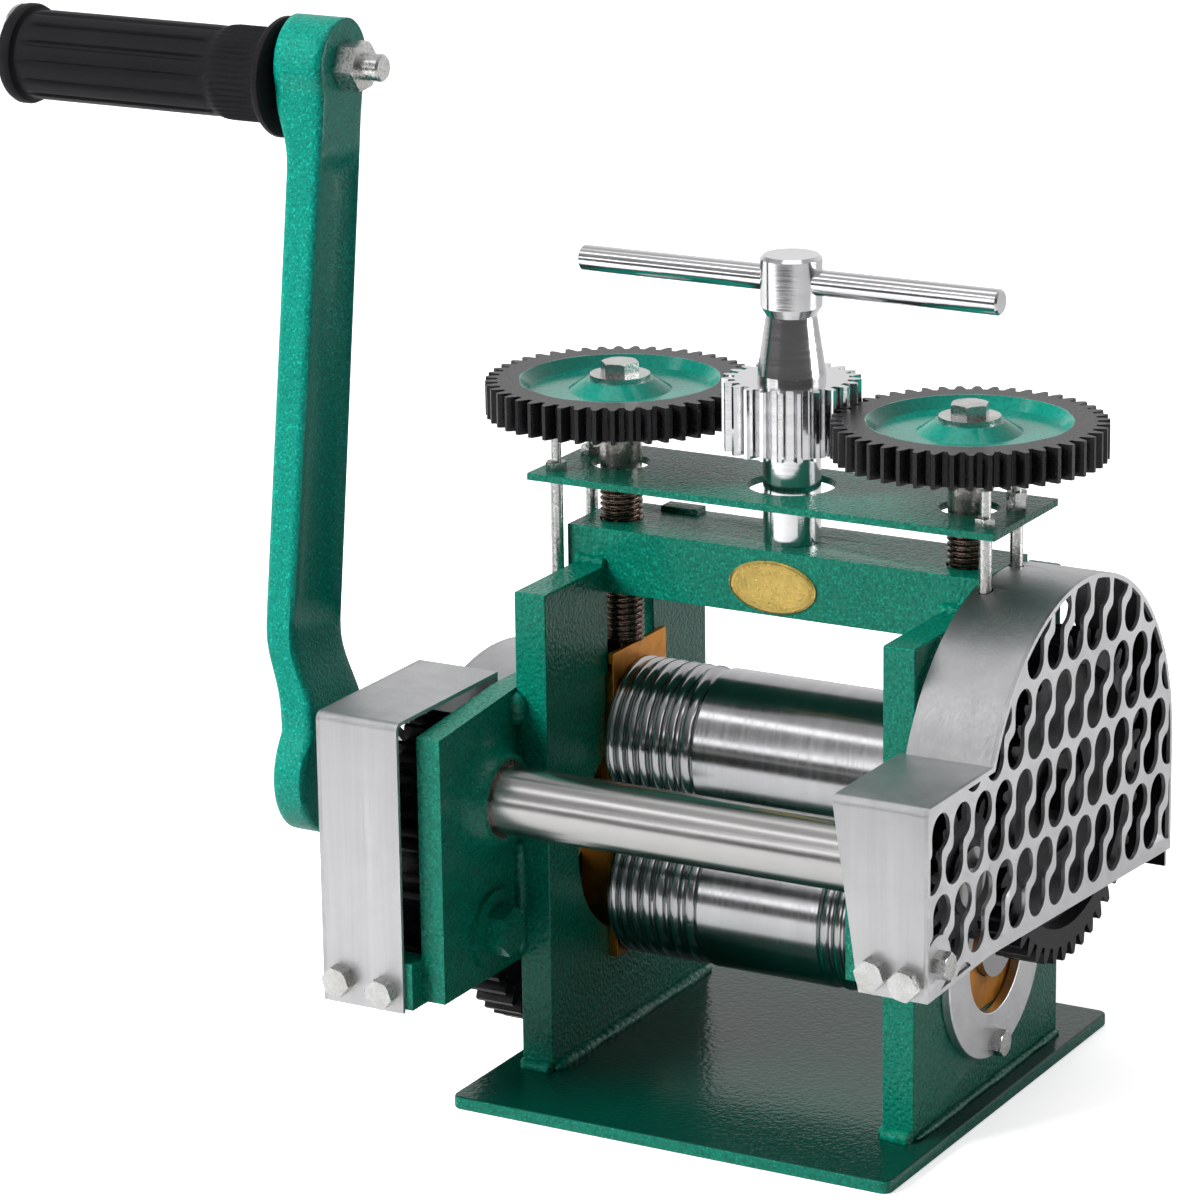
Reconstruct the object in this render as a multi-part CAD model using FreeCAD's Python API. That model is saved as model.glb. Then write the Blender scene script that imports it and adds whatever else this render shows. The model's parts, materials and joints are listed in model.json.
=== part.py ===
import FreeCAD, Part
import math
import os

# Frame of the whole part, in millimetres: X runs along the rollers, the crank is on the -X side,
# the front is -Y, Z is up, and the origin is on the underside of the base plate below the rollers.
Vec = FreeCAD.Vector

# Clearances used wherever two pieces meet
run_gap = 0.05
gear_hub_gap = 0.03
slide_gap = 0.05
face_gap = 0.1
backlash = 0.2

# Base plate
base_half_width = 70.5
base_front = -80.0
base_back = 69.0
base_thick = 4.0
base_corner = 3.0

# Heights of the roller axes
roller_radius = 22.0
nip = 2.5
lower_axis_z = 48.8
upper_axis_z = lower_axis_z + 2 * roller_radius + nip

# Upright side plates with an open slot for the bearing blocks
upright_inner = 53.5
upright_thick = 10.2
upright_outer = upright_inner + upright_thick
upright_front = -50.0
upright_back = 46.5
upright_top = 148.8
slot_half = 13.75
slot_floor_depth = 20.0
slot_floor = lower_axis_z - slot_floor_depth
opening_radius = 29.6
opening_y = -3.0
opening_rise = 16.0
opening_z = lower_axis_z + opening_rise

# Crossbar joining the tops of the uprights
bar_overhang = 2.9
bar_half_length = upright_outer + bar_overhang
bar_back = 16.7
bar_lap = 8.4
bar_height = 19.2
bar_bottom = upright_top - bar_lap
bar_top = bar_bottom + bar_height
bar_step_start = -49.0
bar_step_end = -37.0
bar_step_depth = 6.0
bar_step_height = 1.6

# Oval plate on the crossbar
badge_x = 0.8
badge_rise = 8.7
badge_z = bar_bottom + badge_rise
badge_width = 28.0
badge_height = 15.5
badge_thick = 0.6
badge_rim = 1.3
badge_rim_height = 0.4

# Depth plate above the crossbar, its four studs and nuts
stud_offset = 4.9
stud_x = upright_outer + stud_offset
plate_margin = 5.9
plate_half_length = stud_x + plate_margin
plate_front = -22.9
plate_back = 19.5
plate_rise = 14.4
plate_bottom = bar_top + plate_rise
plate_thick = 2.1
plate_top = plate_bottom + plate_thick
plate_screw_hole = 8.7
plate_centre_hole = 12.8
stud_y = (-16.0, 4.5)
stud_radius = 1.85
stud_thread_radius = 1.5
stud_seat = 8.0
stud_proud = 10.2
stud_top = plate_top + stud_proud
plate_nut_flats = 5.5
plate_nut_height = 2.6

# Bearing blocks
block_flange_thick = 2.95
block_inner = upright_inner - slide_gap - block_flange_thick
block_flange_half = 16.0
block_outer = upright_outer - face_gap
upper_block_depth = 20.3
upper_block_rise = 27.3
lower_block_rise = 21.2
upper_block_bottom = upper_axis_z - upper_block_depth
upper_block_top = upper_axis_z + upper_block_rise
lower_block_top = lower_axis_z + lower_block_rise

# Rollers
roller_end_gap = 0.3
roller_half = block_inner - roller_end_gap
journal_radius = 11.0
journal_proud = 2.3
journal_plain_end = upright_outer + journal_proud
groove_depth_ratio = 0.42
groove_land = 0.5

# Edges of the grooves, measured from the end of the roller nearest to them
upper_grooves = (0.3, 3.5, 6.6, 10.0, 14.4, 18.8, 23.3, 28.9)
lower_left_grooves = (0.5, 3.6, 7.1, 10.9, 14.9, 19.6, 24.6, 29.9)
lower_right_grooves = (6.1, 9.3, 12.6, 16.0, 19.6, 23.3, 27.2, 32.0)

# Retainer rings on the outer faces of the uprights
ring_y = -2.5
ring_drop = 3.3
ring_z = lower_axis_z - ring_drop
ring_radius = 31.0
ring_hole = 17.5
ring_thick = 3.0
ring_screw_drop = 27.3
ring_screw_z = ring_z - ring_screw_drop
ring_screw_flats = 7.0
ring_screw_head = 3.2
ring_screw_radius = 2.0
ring_screw_depth = 8.0

# Gear train of the rollers
drive_module = 2.0
roller_teeth = 46
pinion_teeth = 20
idler_teeth = 20
gear_offset = 12.3
gear_width = 12.5
gear_inner = upright_outer + gear_offset
gear_outer = gear_inner + gear_width
gear_rim_width = 9.0
gear_rim_radius = drive_module * roller_teeth / 2 - gear_rim_width
gear_dish = 3.8
gear_hub_radius = 17.0
gear_hub_proud = 0.5
gear_hub_drop = 5.0
gear_seat_radius = 9.0
gear_seat_inner = gear_inner - gear_hub_proud
gear_seat_outer = gear_outer - gear_hub_drop
shaft_to_roller = drive_module * (pinion_teeth + roller_teeth) / 2
shaft_to_idler = drive_module * (pinion_teeth + idler_teeth) / 2
idler_to_roller = drive_module * (idler_teeth + roller_teeth) / 2

# Front drive shaft
shaft_drop = 3.3
shaft_z = upper_axis_z - shaft_drop
shaft_y = -math.sqrt(shaft_to_roller ** 2 - (upper_axis_z - shaft_z) ** 2)
shaft_radius = 10.0
shaft_shoulder = gear_seat_inner
pinion_seat_radius = 8.5
pinion_step = 1.9
pinion_outer = gear_outer - pinion_step
clip_thick = 1.2
clip_radius = 10.6
clip_groove_radius = 7.6
shaft_end_proud = 2.3
shaft_right_end = pinion_outer + shaft_end_proud
collar_radius = 13.5
bush_radius = 11.2

# Brackets that carry the front shaft
bracket_thick = 7.5
bracket_outer = upright_outer + bracket_thick
bracket_reach = 27.0
bracket_front = shaft_y - bracket_reach
bracket_rise = 28.2
bracket_top = shaft_z + bracket_rise
bracket_slope = 3.9
bracket_front_top = bracket_top - bracket_slope
bracket_back = -38.0
bracket_bar_height = 9.2
bracket_bar_bottom = bracket_top - bracket_bar_height
bracket_bar_back = 12.0
left_bracket_depth = 54.6
right_bracket_depth = 25.0
left_bracket_bottom = shaft_z - left_bracket_depth
right_bracket_bottom = shaft_z - right_bracket_depth
boss_base_radius = 21.5
boss_nose_radius = 13.2
boss_nose_edge = 0.6
boss_length = 6.0
boss_steps = 6
boss_nose = upright_outer - boss_length

# Idler axle on the left bracket
idler_axle_radius = 6.0
idler_bolt_radius = 5.0
idler_collar_radius = 9.0
idler_nut_flats = 13.0
idler_nut_height = 5.5
idler_cap_thick = 1.5
idler_end_proud = 0.8
idler_washer_radius = 11.5
idler_washer_thick = 1.6
idler_clip_radius = 8.2

# Sheet covers
sheet = 1.2
bend_radius = 2.4
bend_steps = 4
cover_reach = 6.5
cover_front = bracket_front - cover_reach
cover_rise = 1.4
cover_top = bracket_top + cover_rise
cover_bracket_gap = 2.5
left_cover_inner = bracket_outer + cover_bracket_gap
left_cover_room = 11.8
left_cover_outer = gear_outer + left_cover_room
left_cover_drop = 2.3
left_cover_bottom = left_bracket_bottom - left_cover_drop
left_cover_step_y = -43.0
left_hump_radius = 66.0
left_hump_steps = 30
right_cover_gap = 1.3
right_cover_inner = upright_outer + right_cover_gap
right_front_lap = 0.7
right_front_top_x = upright_outer - right_front_lap
right_front_taper = 7.8
right_front_bottom_x = right_front_top_x + right_front_taper
right_cover_room = 3.1
right_cover_outer = gear_outer + right_cover_room
right_cover_drop = 0.2
right_cover_bottom = right_bracket_bottom - right_cover_drop
right_hump_radius = 64.3
right_hump_steps = 36
right_wall_drop = 11.8
right_wall_bottom = right_cover_bottom - right_wall_drop
right_side_back_drop = 6.3
right_side_back_z = right_cover_bottom - right_side_back_drop
right_side_mid_y = -60.4
right_side_mid_rise = 1.1
right_side_mid_z = right_cover_bottom + right_side_mid_rise

# Slots of the two pierced side sheets
slot_lobe_radius = 5.5
slot_waist = 3.6
slot_lobe_y = 2.4
slot_lobe_z = 5.3
slot_pitch_y = 13.2
slot_pitch_z = 23.2
slot_row_shift = -0.8
slot_row_drop = 0.06
slot_start_y = -1.6
slot_start_rise = 6.8
slot_start_z = upper_axis_z + slot_start_rise
side_rim = 1.4

# Lugs and bolts that hold the covers
lug_depth = 3.9
lug_back = bracket_front + lug_depth
left_lug_rise = 0.9
left_lug_height = 14.0
left_lug_bottom = left_cover_bottom + left_lug_rise
left_lug_top = left_lug_bottom + left_lug_height
right_lug_height = 13.0
right_lug_top = right_bracket_bottom + right_lug_height
cover_bolt_flats = 8.0
cover_bolt_head = 3.8
cover_bolt_radius = 2.3
cover_bolt_depth = 8.0
outer_bolt_inset = 6.0
inner_bolt_inset = 4.4
left_inner_bolt_inset = 8.8
high_bolt_rise = 6.3
low_bolt_rise = 4.9
left_bolts = (
    (-(left_cover_outer - outer_bolt_inset), left_lug_bottom + high_bolt_rise),
    (-(bracket_outer + left_inner_bolt_inset), left_lug_bottom + low_bolt_rise),
)
right_bolts = (
    (bracket_outer + inner_bolt_inset, right_bracket_bottom + high_bolt_rise),
    (right_cover_outer - outer_bolt_inset, right_bracket_bottom + low_bolt_rise),
)
side_bolt_inset = 6.3
side_bolt_y = cover_front + side_bolt_inset
side_bolt_rise = 9.2
side_bolt_z = right_bracket_bottom + side_bolt_rise
side_bolt_radius = 1.8
side_bolt_depth = 7.0

# Screws, gears and handle of the height adjustment
screw_radius = 6.35
screw_core_radius = 5.45
screw_pitch = 1.75
screw_thread_gap = 3.0
screw_thread_top = plate_bottom - screw_thread_gap
screw_plain_radius = 6.1
screw_neck_radius = 3.6
screw_foot_radius = 4.6
screw_foot_thick = 3.4
screw_neck_height = 3.2
screw_spigot_radius = 5.0
jack_module = 1.6
jack_teeth = 47
centre_teeth = 23
screw_x = jack_module * (jack_teeth + centre_teeth) / 2
jack_gear_rise = 15.2
jack_gear_bottom = plate_top + jack_gear_rise
jack_gear_thick = 10.1
jack_gear_top = jack_gear_bottom + jack_gear_thick
jack_rim_width = 8.6
jack_web_radius = jack_module * jack_teeth / 2 - jack_rim_width
jack_hub_radius = 10.0
jack_dish = 3.2
jack_slope = 5.0
jack_washer_radius = 8.8
jack_washer_thick = 1.4
jack_bolt_flats = 10.0
jack_bolt_head = 3.6
jack_bolt_radius = 3.0
jack_bolt_depth = 16.0
centre_pinion_drop = 3.8
centre_pinion_rise = 6.2
centre_pinion_bottom = jack_gear_bottom - centre_pinion_drop
centre_pinion_top = jack_gear_top + centre_pinion_rise
tee_shaft_radius = 8.4
tee_spigot_radius = 6.0
tee_spigot_length = 12.0
tee_neck_base = 9.9
tee_neck_top = 7.3
tee_neck_length = 18.4
tee_neck_flare = 2.6
tee_neck_end = centre_pinion_top + tee_neck_length
tee_hub_radius = 8.9
tee_hub_height = 14.8
tee_hub_bottom = tee_neck_end + tee_neck_flare
tee_hub_top = tee_hub_bottom + tee_hub_height
tee_bar_radius = 3.75
tee_bar_z = (tee_hub_bottom + tee_hub_top) / 2
tee_bar_left = -67.7
tee_bar_right = 65.5
tee_bar_chamfer = 0.6

# Crank, spindle and grip
crank_length = 204.5
crank_lean = math.radians(7.0)
crank_clearance = 14.7
crank_boss_thick = 11.5
crank_boss_inner = -(left_cover_outer + crank_clearance)
crank_boss_outer = crank_boss_inner - crank_boss_thick
crank_boss_radius = 18.5
crank_seat_radius = 8.0
arm_set_out = 8.5
arm_thick = 10.0
arm_inner = crank_boss_inner - arm_set_out
arm_outer = arm_inner - arm_thick
arm_jog_start = 21.0
arm_jog_end = 36.0
arm_low_half = 14.0
arm_high_half = 11.0
arm_top_set_in = 2.5
arm_top_thick = 17.0
arm_top_inner = arm_inner + arm_top_set_in
arm_top_outer = arm_top_inner - arm_top_thick
arm_top_radius = 13.5
channel_depth = 2.0
channel_half = 6.5
channel_start = 52.0
channel_end = 172.0
crank_bolt_flats = 13.0
crank_bolt_head = 5.5
crank_bolt_radius = 4.0
crank_bolt_depth = 18.0
crank_washer_radius = 12.0
crank_washer_thick = 1.8
crank_recess = 4.5
crank_shaft_end = crank_boss_outer + crank_recess
spindle_radius = 4.0
spindle_proud = 12.7
spindle_end = arm_top_inner + spindle_proud
spindle_collar_radius = 7.0
spindle_collar_thick = 1.2
spindle_head_radius = 9.5
spindle_head_thick = 2.2
grip_nut_flats = 13.0
grip_nut_height = 6.5
grip_drop = 5.0
grip_inner_end = arm_top_outer - spindle_collar_thick - face_gap
grip_length = 93.3
grip_outer_end = grip_inner_end - grip_length
grip_flange_radius = 17.5
grip_flange_thick = 3.6
grip_end_radius = 14.8
grip_end_thick = 4.6
grip_body_radius = 13.0
grip_collar_radius = 13.8
grip_collar_length = 17.0
grip_flutes = 18
grip_flute_radius = 1.1

# Fasteners on the ends of the roller gears
end_washer_radius = 12.0
end_washer_thick = 1.5
end_bolt_flats = 13.0
end_bolt_head = 4.4
end_bolt_radius = 4.0
end_bolt_depth = 16.0

# Weld beads
bead = 3.0

# Places worked out from the sizes above
idler_span = math.hypot(shaft_y, shaft_z - lower_axis_z)
idler_along = (shaft_to_idler ** 2 - idler_to_roller ** 2 + idler_span ** 2) / (2 * idler_span)
idler_across = math.sqrt(shaft_to_idler ** 2 - idler_along ** 2)
idler_dir_y = -shaft_y / idler_span
idler_dir_z = (lower_axis_z - shaft_z) / idler_span
idler_y = shaft_y + idler_along * idler_dir_y + idler_across * idler_dir_z
idler_z = shaft_z + idler_along * idler_dir_z - idler_across * idler_dir_y
grip_y = shaft_y + crank_length * math.sin(crank_lean)
spindle_z = shaft_z + crank_length * math.cos(crank_lean)
grip_z = spindle_z - grip_drop


# Basic shapes
def box(x0, x1, y0, y1, z0, z1):
    low = Vec(min(x0, x1), min(y0, y1), min(z0, z1))
    return Part.makeBox(abs(x1 - x0), abs(y1 - y0), abs(z1 - z0), low)


def rod_x(radius, x0, x1, y, z):
    return Part.makeCylinder(radius, abs(x1 - x0), Vec(min(x0, x1), y, z), Vec(1, 0, 0))


def rod_y(radius, y0, y1, x, z):
    return Part.makeCylinder(radius, abs(y1 - y0), Vec(x, min(y0, y1), z), Vec(0, 1, 0))


def rod_z(radius, z0, z1, x, y):
    return Part.makeCylinder(radius, abs(z1 - z0), Vec(x, y, min(z0, z1)), Vec(0, 0, 1))


def face_of(points):
    corners = [Vec(*point) for point in points]
    corners.append(corners[0])
    return Part.Face(Part.makePolygon(corners))


def plate_x(points, x0, x1):
    outline = [(x0, y, z) for y, z in points]
    return face_of(outline).extrude(Vec(x1 - x0, 0, 0))


def plate_z(points, z0, z1):
    outline = [(x, y, z0) for x, y in points]
    return face_of(outline).extrude(Vec(0, 0, z1 - z0))


def turned_x(profile, y, z):
    outline = [(x, y + radius, z) for x, radius in profile]
    return face_of(outline).revolve(Vec(0, y, z), Vec(1, 0, 0), 360)


def turned_z(profile, x, y):
    outline = [(x + radius, y, z) for radius, z in profile]
    return face_of(outline).revolve(Vec(x, y, 0), Vec(0, 0, 1), 360)


def hex_points(flats, turn=0.0):
    radius = flats / math.sqrt(3)
    angles = [turn + math.pi / 3 * index for index in range(6)]
    return [(radius * math.cos(angle), radius * math.sin(angle)) for angle in angles]


def chamfered(prism, cone):
    return prism.common(cone)


def hex_x(flats, x0, x1, y, z, turn=0.3):
    corners = [(y + a, z + b) for a, b in hex_points(flats, turn)]
    prism = plate_x(corners, x0, x1)
    edge = flats / math.sqrt(3)
    cut = (edge - flats / 2) * 0.75
    sign = 1 if x1 > x0 else -1
    profile = [(x0, 0), (x0, edge), (x1 - sign * cut * 0.6, edge), (x1, edge - cut), (x1, 0)]
    return chamfered(prism, turned_x(profile, y, z))


def hex_y(flats, y0, y1, x, z, turn=0.3):
    head = hex_x(flats, y0, y1, 0, 0, turn)
    head.rotate(Vec(0, 0, 0), Vec(0, 0, 1), 90)
    head.translate(Vec(x, 0, z))
    return head


def hex_z(flats, z0, z1, x, y, turn=0.3):
    head = hex_x(flats, z0, z1, 0, 0, turn)
    head.rotate(Vec(0, 0, 0), Vec(0, 1, 0), -90)
    head.translate(Vec(x, y, 0))
    return head


def joined(first, *others):
    shape = first.fuse(list(others))
    return shape.removeSplitter()


def mirrored(shape):
    return shape.mirror(Vec(0, 0, 0), Vec(1, 0, 0))


def on_side(side, shape):
    return shape if side > 0 else mirrored(shape)


# Gear teeth
def involute(angle):
    return math.tan(angle) - angle


def tooth_flank(teeth, module):
    pitch = module * teeth / 2
    base = pitch * math.cos(math.radians(20))
    tip = pitch + module
    root = pitch - 1.25 * module
    start = max(base, root)
    half_pitch = math.pi / (2 * teeth) - backlash / (4 * pitch)
    flank = []
    if root < base:
        flank.append((root, half_pitch + involute(math.radians(20))))
    for step in range(4):
        radius = start + (tip - start) * step / 3
        turn = math.acos(min(1.0, base / radius))
        flank.append((radius, half_pitch + involute(math.radians(20)) - involute(turn)))
    return flank


def gear_outline(teeth, module, phase):
    flank = tooth_flank(teeth, module)
    points = []
    for index in range(teeth):
        middle = phase + 2 * math.pi * index / teeth
        for radius, half in flank:
            points.append((radius * math.cos(middle - half), radius * math.sin(middle - half)))
        for radius, half in reversed(flank):
            points.append((radius * math.cos(middle + half), radius * math.sin(middle + half)))
    return points


def mating_phase(direction, phase, teeth, mate_teeth):
    pitch = 2 * math.pi / teeth
    mate_pitch = 2 * math.pi / mate_teeth
    offset = ((direction - phase) / pitch) % 1.0
    return direction + math.pi + offset * mate_pitch + mate_pitch / 2


def gear_x(teeth, phase, x0, x1, y, z):
    points = [(y + a, z + b) for a, b in gear_outline(teeth, drive_module, phase)]
    return plate_x(points, x0, x1)


def gear_z(teeth, phase, z0, z1, x, y):
    points = [(x + a, y + b) for a, b in gear_outline(teeth, jack_module, phase)]
    return plate_z(points, z0, z1)


shaft_phase = 0.05
to_upper = math.atan2(upper_axis_z - shaft_z, -shaft_y)
to_idler = math.atan2(idler_z - shaft_z, idler_y - shaft_y)
idler_to_lower = math.atan2(lower_axis_z - idler_z, -idler_y)
upper_phase = mating_phase(to_upper, shaft_phase, pinion_teeth, roller_teeth)
idler_phase = mating_phase(to_idler, shaft_phase, pinion_teeth, idler_teeth)
lower_phase = mating_phase(idler_to_lower, idler_phase, idler_teeth, roller_teeth)
centre_phase = 0.1
right_jack_phase = mating_phase(0.0, centre_phase, centre_teeth, jack_teeth)
left_jack_phase = mating_phase(math.pi, centre_phase, centre_teeth, jack_teeth)


# Fixed frame
def base_plate():
    plate = box(-base_half_width, base_half_width, base_front, base_back, 0, base_thick)
    corners = [edge for edge in plate.Edges if abs(edge.tangentAt(0).z) > 0.9]
    return plate.makeFillet(base_corner, corners)


def upright(side):
    plate = box(upright_inner, upright_outer, upright_front, upright_back, base_thick, upright_top)
    slot = box(upright_inner, upright_outer, -slot_half, slot_half, slot_floor, upright_top)
    seat = box(upright_inner, upright_outer, -slot_half, bar_back, bar_bottom, upright_top)
    opening = rod_x(opening_radius, upright_inner, upright_outer, opening_y, opening_z)
    plate = plate.cut([slot, seat, opening])
    screw = rod_x(ring_screw_radius, upright_outer - ring_screw_depth, upright_outer, ring_y, ring_screw_z)
    return on_side(side, plate.cut(screw))


def crossbar():
    bar = box(-bar_half_length, bar_half_length, -slot_half, bar_back, bar_bottom, bar_top)
    step_front = bar_back - bar_step_depth
    step = box(bar_step_start, bar_step_end, step_front, bar_back, bar_top, bar_top + bar_step_height)
    bar = joined(bar, step)
    holes = [rod_z(screw_radius + run_gap, bar_bottom, bar_top, x, 0) for x in (-screw_x, screw_x)]
    socket_floor = bar_top - tee_spigot_length - face_gap
    holes.append(rod_z(tee_spigot_radius + run_gap, socket_floor, bar_top, 0, 0))
    return bar.cut(holes)


def badge():
    front = -slot_half - badge_thick
    plain = oval(badge_width / 2, badge_height / 2, front, -slot_half)
    rim_outer = oval(badge_width / 2, badge_height / 2, front - badge_rim_height, front)
    inner_width = badge_width / 2 - badge_rim
    inner_height = badge_height / 2 - badge_rim
    rim_inner = oval(inner_width, inner_height, front - badge_rim_height, front)
    return joined(plain, rim_outer.cut(rim_inner))


def oval(half_width, half_height, y0, y1):
    ellipse = Part.Ellipse(Vec(0, 0, 0), half_width, half_height)
    face = Part.Face(Part.Wire(ellipse.toShape()))
    face.rotate(Vec(0, 0, 0), Vec(1, 0, 0), 90)
    face.translate(Vec(badge_x, y0, badge_z))
    return face.extrude(Vec(0, y1 - y0, 0))


def bead_along_y(x, z, lean, y0, y1):
    corners = [(x, y0, z), (x + lean * bead, y0, z), (x, y0, z + bead)]
    return face_of(corners).extrude(Vec(0, y1 - y0, 0))


def bead_along_z(x, y, lean, z0, z1):
    corners = [(x, y, z0), (x - bead, y, z0), (x, y + lean * bead, z0)]
    return face_of(corners).extrude(Vec(0, 0, z1 - z0))


def bead_along_x(y, z, lean, x0, x1):
    corners = [(x0, y, z), (x0, y + lean * bead, z), (x0, y, z + bead)]
    return face_of(corners).extrude(Vec(x1 - x0, 0, 0))


def frame_welds():
    beads = []
    for side in (-1, 1):
        beads.append(on_side(side, bead_along_y(upright_inner, base_thick, -1, upright_front, upright_back)))
        beads.append(on_side(side, bead_along_y(upright_outer, base_thick, 1, upright_front, upright_back)))
        front_foot = bead_along_x(upright_front, base_thick, -1, upright_inner, upright_outer)
        beads.append(on_side(side, front_foot))
        bottom = left_bracket_bottom if side < 0 else right_bracket_bottom
        seam = bead_along_z(upright_outer, upright_front, -1, bottom, bracket_top)
        boss_room = rod_x(boss_base_radius, boss_nose, upright_outer, shaft_y, shaft_z)
        beads.append(on_side(side, seam.cut(boss_room)))
        front_lap = bead_along_x(-slot_half, upright_top, -1, upright_inner, upright_outer)
        beads.append(on_side(side, front_lap))
        back_lap = bead_along_x(bar_back, upright_top, 1, upright_inner, upright_outer)
        beads.append(on_side(side, back_lap))
    return Part.makeCompound(beads)


# Depth plate
def top_plate():
    plate = box(-plate_half_length, plate_half_length, plate_front, plate_back, plate_bottom, plate_top)
    holes = [rod_z(plate_screw_hole, plate_bottom, plate_top, x, 0) for x in (-screw_x, screw_x)]
    holes.append(rod_z(plate_centre_hole, plate_bottom, plate_top, 0, 0))
    for x in (-stud_x, stud_x):
        for y in stud_y:
            holes.append(rod_z(stud_thread_radius, plate_bottom, plate_top, x, y))
    return plate.cut(holes)


def plate_studs():
    studs = []
    for x in (-stud_x, stud_x):
        for y in stud_y:
            shank = rod_z(stud_radius, bracket_top - stud_seat, plate_bottom, x, y)
            thread = rod_z(stud_thread_radius, plate_bottom, stud_top, x, y)
            studs.append(joined(shank, thread))
    return Part.makeCompound(studs)


def plate_nut(x, y, bottom):
    nut = hex_z(plate_nut_flats, bottom, bottom + plate_nut_height, x, y)
    return nut.cut(rod_z(stud_thread_radius, bottom, bottom + plate_nut_height, x, y))


def plate_nuts():
    nuts = []
    for x in (-stud_x, stud_x):
        for y in stud_y:
            nuts.append(plate_nut(x, y, plate_top))
    nuts.append(plate_nut(stud_x, stud_y[1], plate_top + plate_nut_height))
    return Part.makeCompound(nuts)


# Brackets for the front shaft
def bracket(side):
    bottom = left_bracket_bottom if side < 0 else right_bracket_bottom
    points = [
        (bracket_front, bottom),
        (bracket_back, bottom),
        (bracket_back, bracket_bar_bottom),
        (bracket_bar_back, bracket_bar_bottom),
        (bracket_bar_back, bracket_top),
        (upright_front, bracket_top),
        (bracket_front, bracket_front_top),
    ]
    plate = plate_x(points, upright_outer, bracket_outer)
    profile = [(boss_nose, 0), (boss_nose, boss_nose_radius - boss_nose_edge)]
    flare = boss_base_radius - boss_nose_radius
    for index in range(boss_steps + 1):
        angle = math.pi / 2 * index / boss_steps
        along = boss_nose_edge + (boss_length - boss_nose_edge) * math.sin(angle)
        profile.append((boss_nose + along, boss_nose_radius + flare * (1 - math.cos(angle))))
    profile.append((upright_outer, 0))
    plate = joined(plate, turned_x(profile, shaft_y, shaft_z))
    holes = [rod_x(bush_radius, boss_nose, bracket_outer, shaft_y, shaft_z)]
    holes.append(box(boss_nose, upright_outer, upright_front, upright_back, base_thick, upright_top))
    for y in stud_y:
        holes.append(rod_z(stud_radius, bracket_top - stud_seat, bracket_top, stud_x, y))
    if side < 0:
        holes.append(rod_x(idler_bolt_radius, upright_outer, bracket_outer, idler_y, idler_z))
    return on_side(side, plate.cut(holes))


def shaft_bush(side):
    sleeve = rod_x(bush_radius, boss_nose, bracket_outer, shaft_y, shaft_z)
    bore = rod_x(shaft_radius + run_gap, boss_nose, bracket_outer, shaft_y, shaft_z)
    return on_side(side, sleeve.cut(bore))


# Sheet covers
def hump_path(front_y, bottom, step, start, centre_z, radius, back_bottom, inset):
    front = front_y + inset
    top = cover_top - inset
    reach = radius - inset
    if step is None:
        start_y = -math.sqrt(reach ** 2 - (top - centre_z) ** 2)
        start_z = top
    else:
        start_y = step - inset
        start_z = centre_z + math.sqrt(reach ** 2 - start_y ** 2)
    bend = bend_radius - inset
    path = [(front, bottom)]
    for index in range(bend_steps + 1):
        angle = math.pi - math.pi / 2 * index / bend_steps
        path.append((front + bend * (1 + math.cos(angle)), top - bend * (1 - math.sin(angle))))
    if step is not None:
        path.append((start_y, top))
    first = math.atan2(start_z - centre_z, start_y)
    for index in range(start + 1):
        angle = first * (1 - index / start)
        path.append((reach * math.cos(angle), centre_z + reach * math.sin(angle)))
    path.append((reach, back_bottom))
    return path


def left_path(inset):
    return hump_path(
        cover_front, left_cover_bottom, left_cover_step_y, left_hump_steps,
        lower_axis_z, left_hump_radius, left_cover_bottom, inset,
    )


def right_path(inset, back_bottom=right_wall_bottom):
    return hump_path(
        cover_front, right_cover_bottom, None, right_hump_steps,
        upper_axis_z, right_hump_radius, back_bottom, inset,
    )


def left_cover():
    outline = left_path(0) + list(reversed(left_path(sheet)))
    shell = plate_x(outline, left_cover_inner, left_cover_outer - sheet)
    shell = mirrored(shell)
    holes = []
    for x, z in left_bolts:
        holes.append(rod_y(cover_bolt_radius, cover_front, cover_front + sheet, x, z))
    return shell.cut(holes)


def right_cover():
    outline = right_path(0) + list(reversed(right_path(sheet)))
    shell = plate_x(outline, right_front_top_x, right_cover_outer - sheet)
    behind = -math.sqrt(right_hump_radius ** 2 - (cover_top - upper_axis_z) ** 2)
    cuts = [box(right_front_top_x, right_cover_inner, behind, right_hump_radius, 0, stud_top)]
    below = right_cover_bottom
    corners = [
        (right_front_top_x, cover_front, cover_top - sheet),
        (right_front_bottom_x, cover_front, below),
        (right_front_top_x, cover_front, below),
    ]
    cuts.append(face_of(corners).extrude(Vec(0, sheet, 0)))
    bar_end = bar_half_length + face_gap
    notch = box(right_front_top_x, bar_end, -slot_half - face_gap, bar_back + face_gap, bar_bottom, stud_top)
    cuts.append(notch)
    for y in stud_y:
        cuts.append(rod_z(stud_radius + 4 * face_gap, bar_bottom, stud_top, stud_x, y))
    for x, z in right_bolts:
        cuts.append(rod_y(cover_bolt_radius, cover_front, cover_front + sheet, x, z))
    return shell.cut(cuts)


def slot_shape(y, z):
    points = []
    for sign in (1, -1):
        for turn in (-40, 0, 45, 90, 135, 180):
            angle = math.radians(turn)
            points.append((
                sign * (slot_lobe_y + slot_lobe_radius * math.cos(angle)),
                sign * (slot_lobe_z + slot_lobe_radius * math.sin(angle)),
            ))
        points.append((-sign * slot_waist, 0))
    curve = Part.BSplineCurve()
    curve.interpolate([Vec(0, y + a, z + b) for a, b in points], PeriodicFlag=True)
    return Part.Face(Part.Wire(curve.toShape()))


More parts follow.
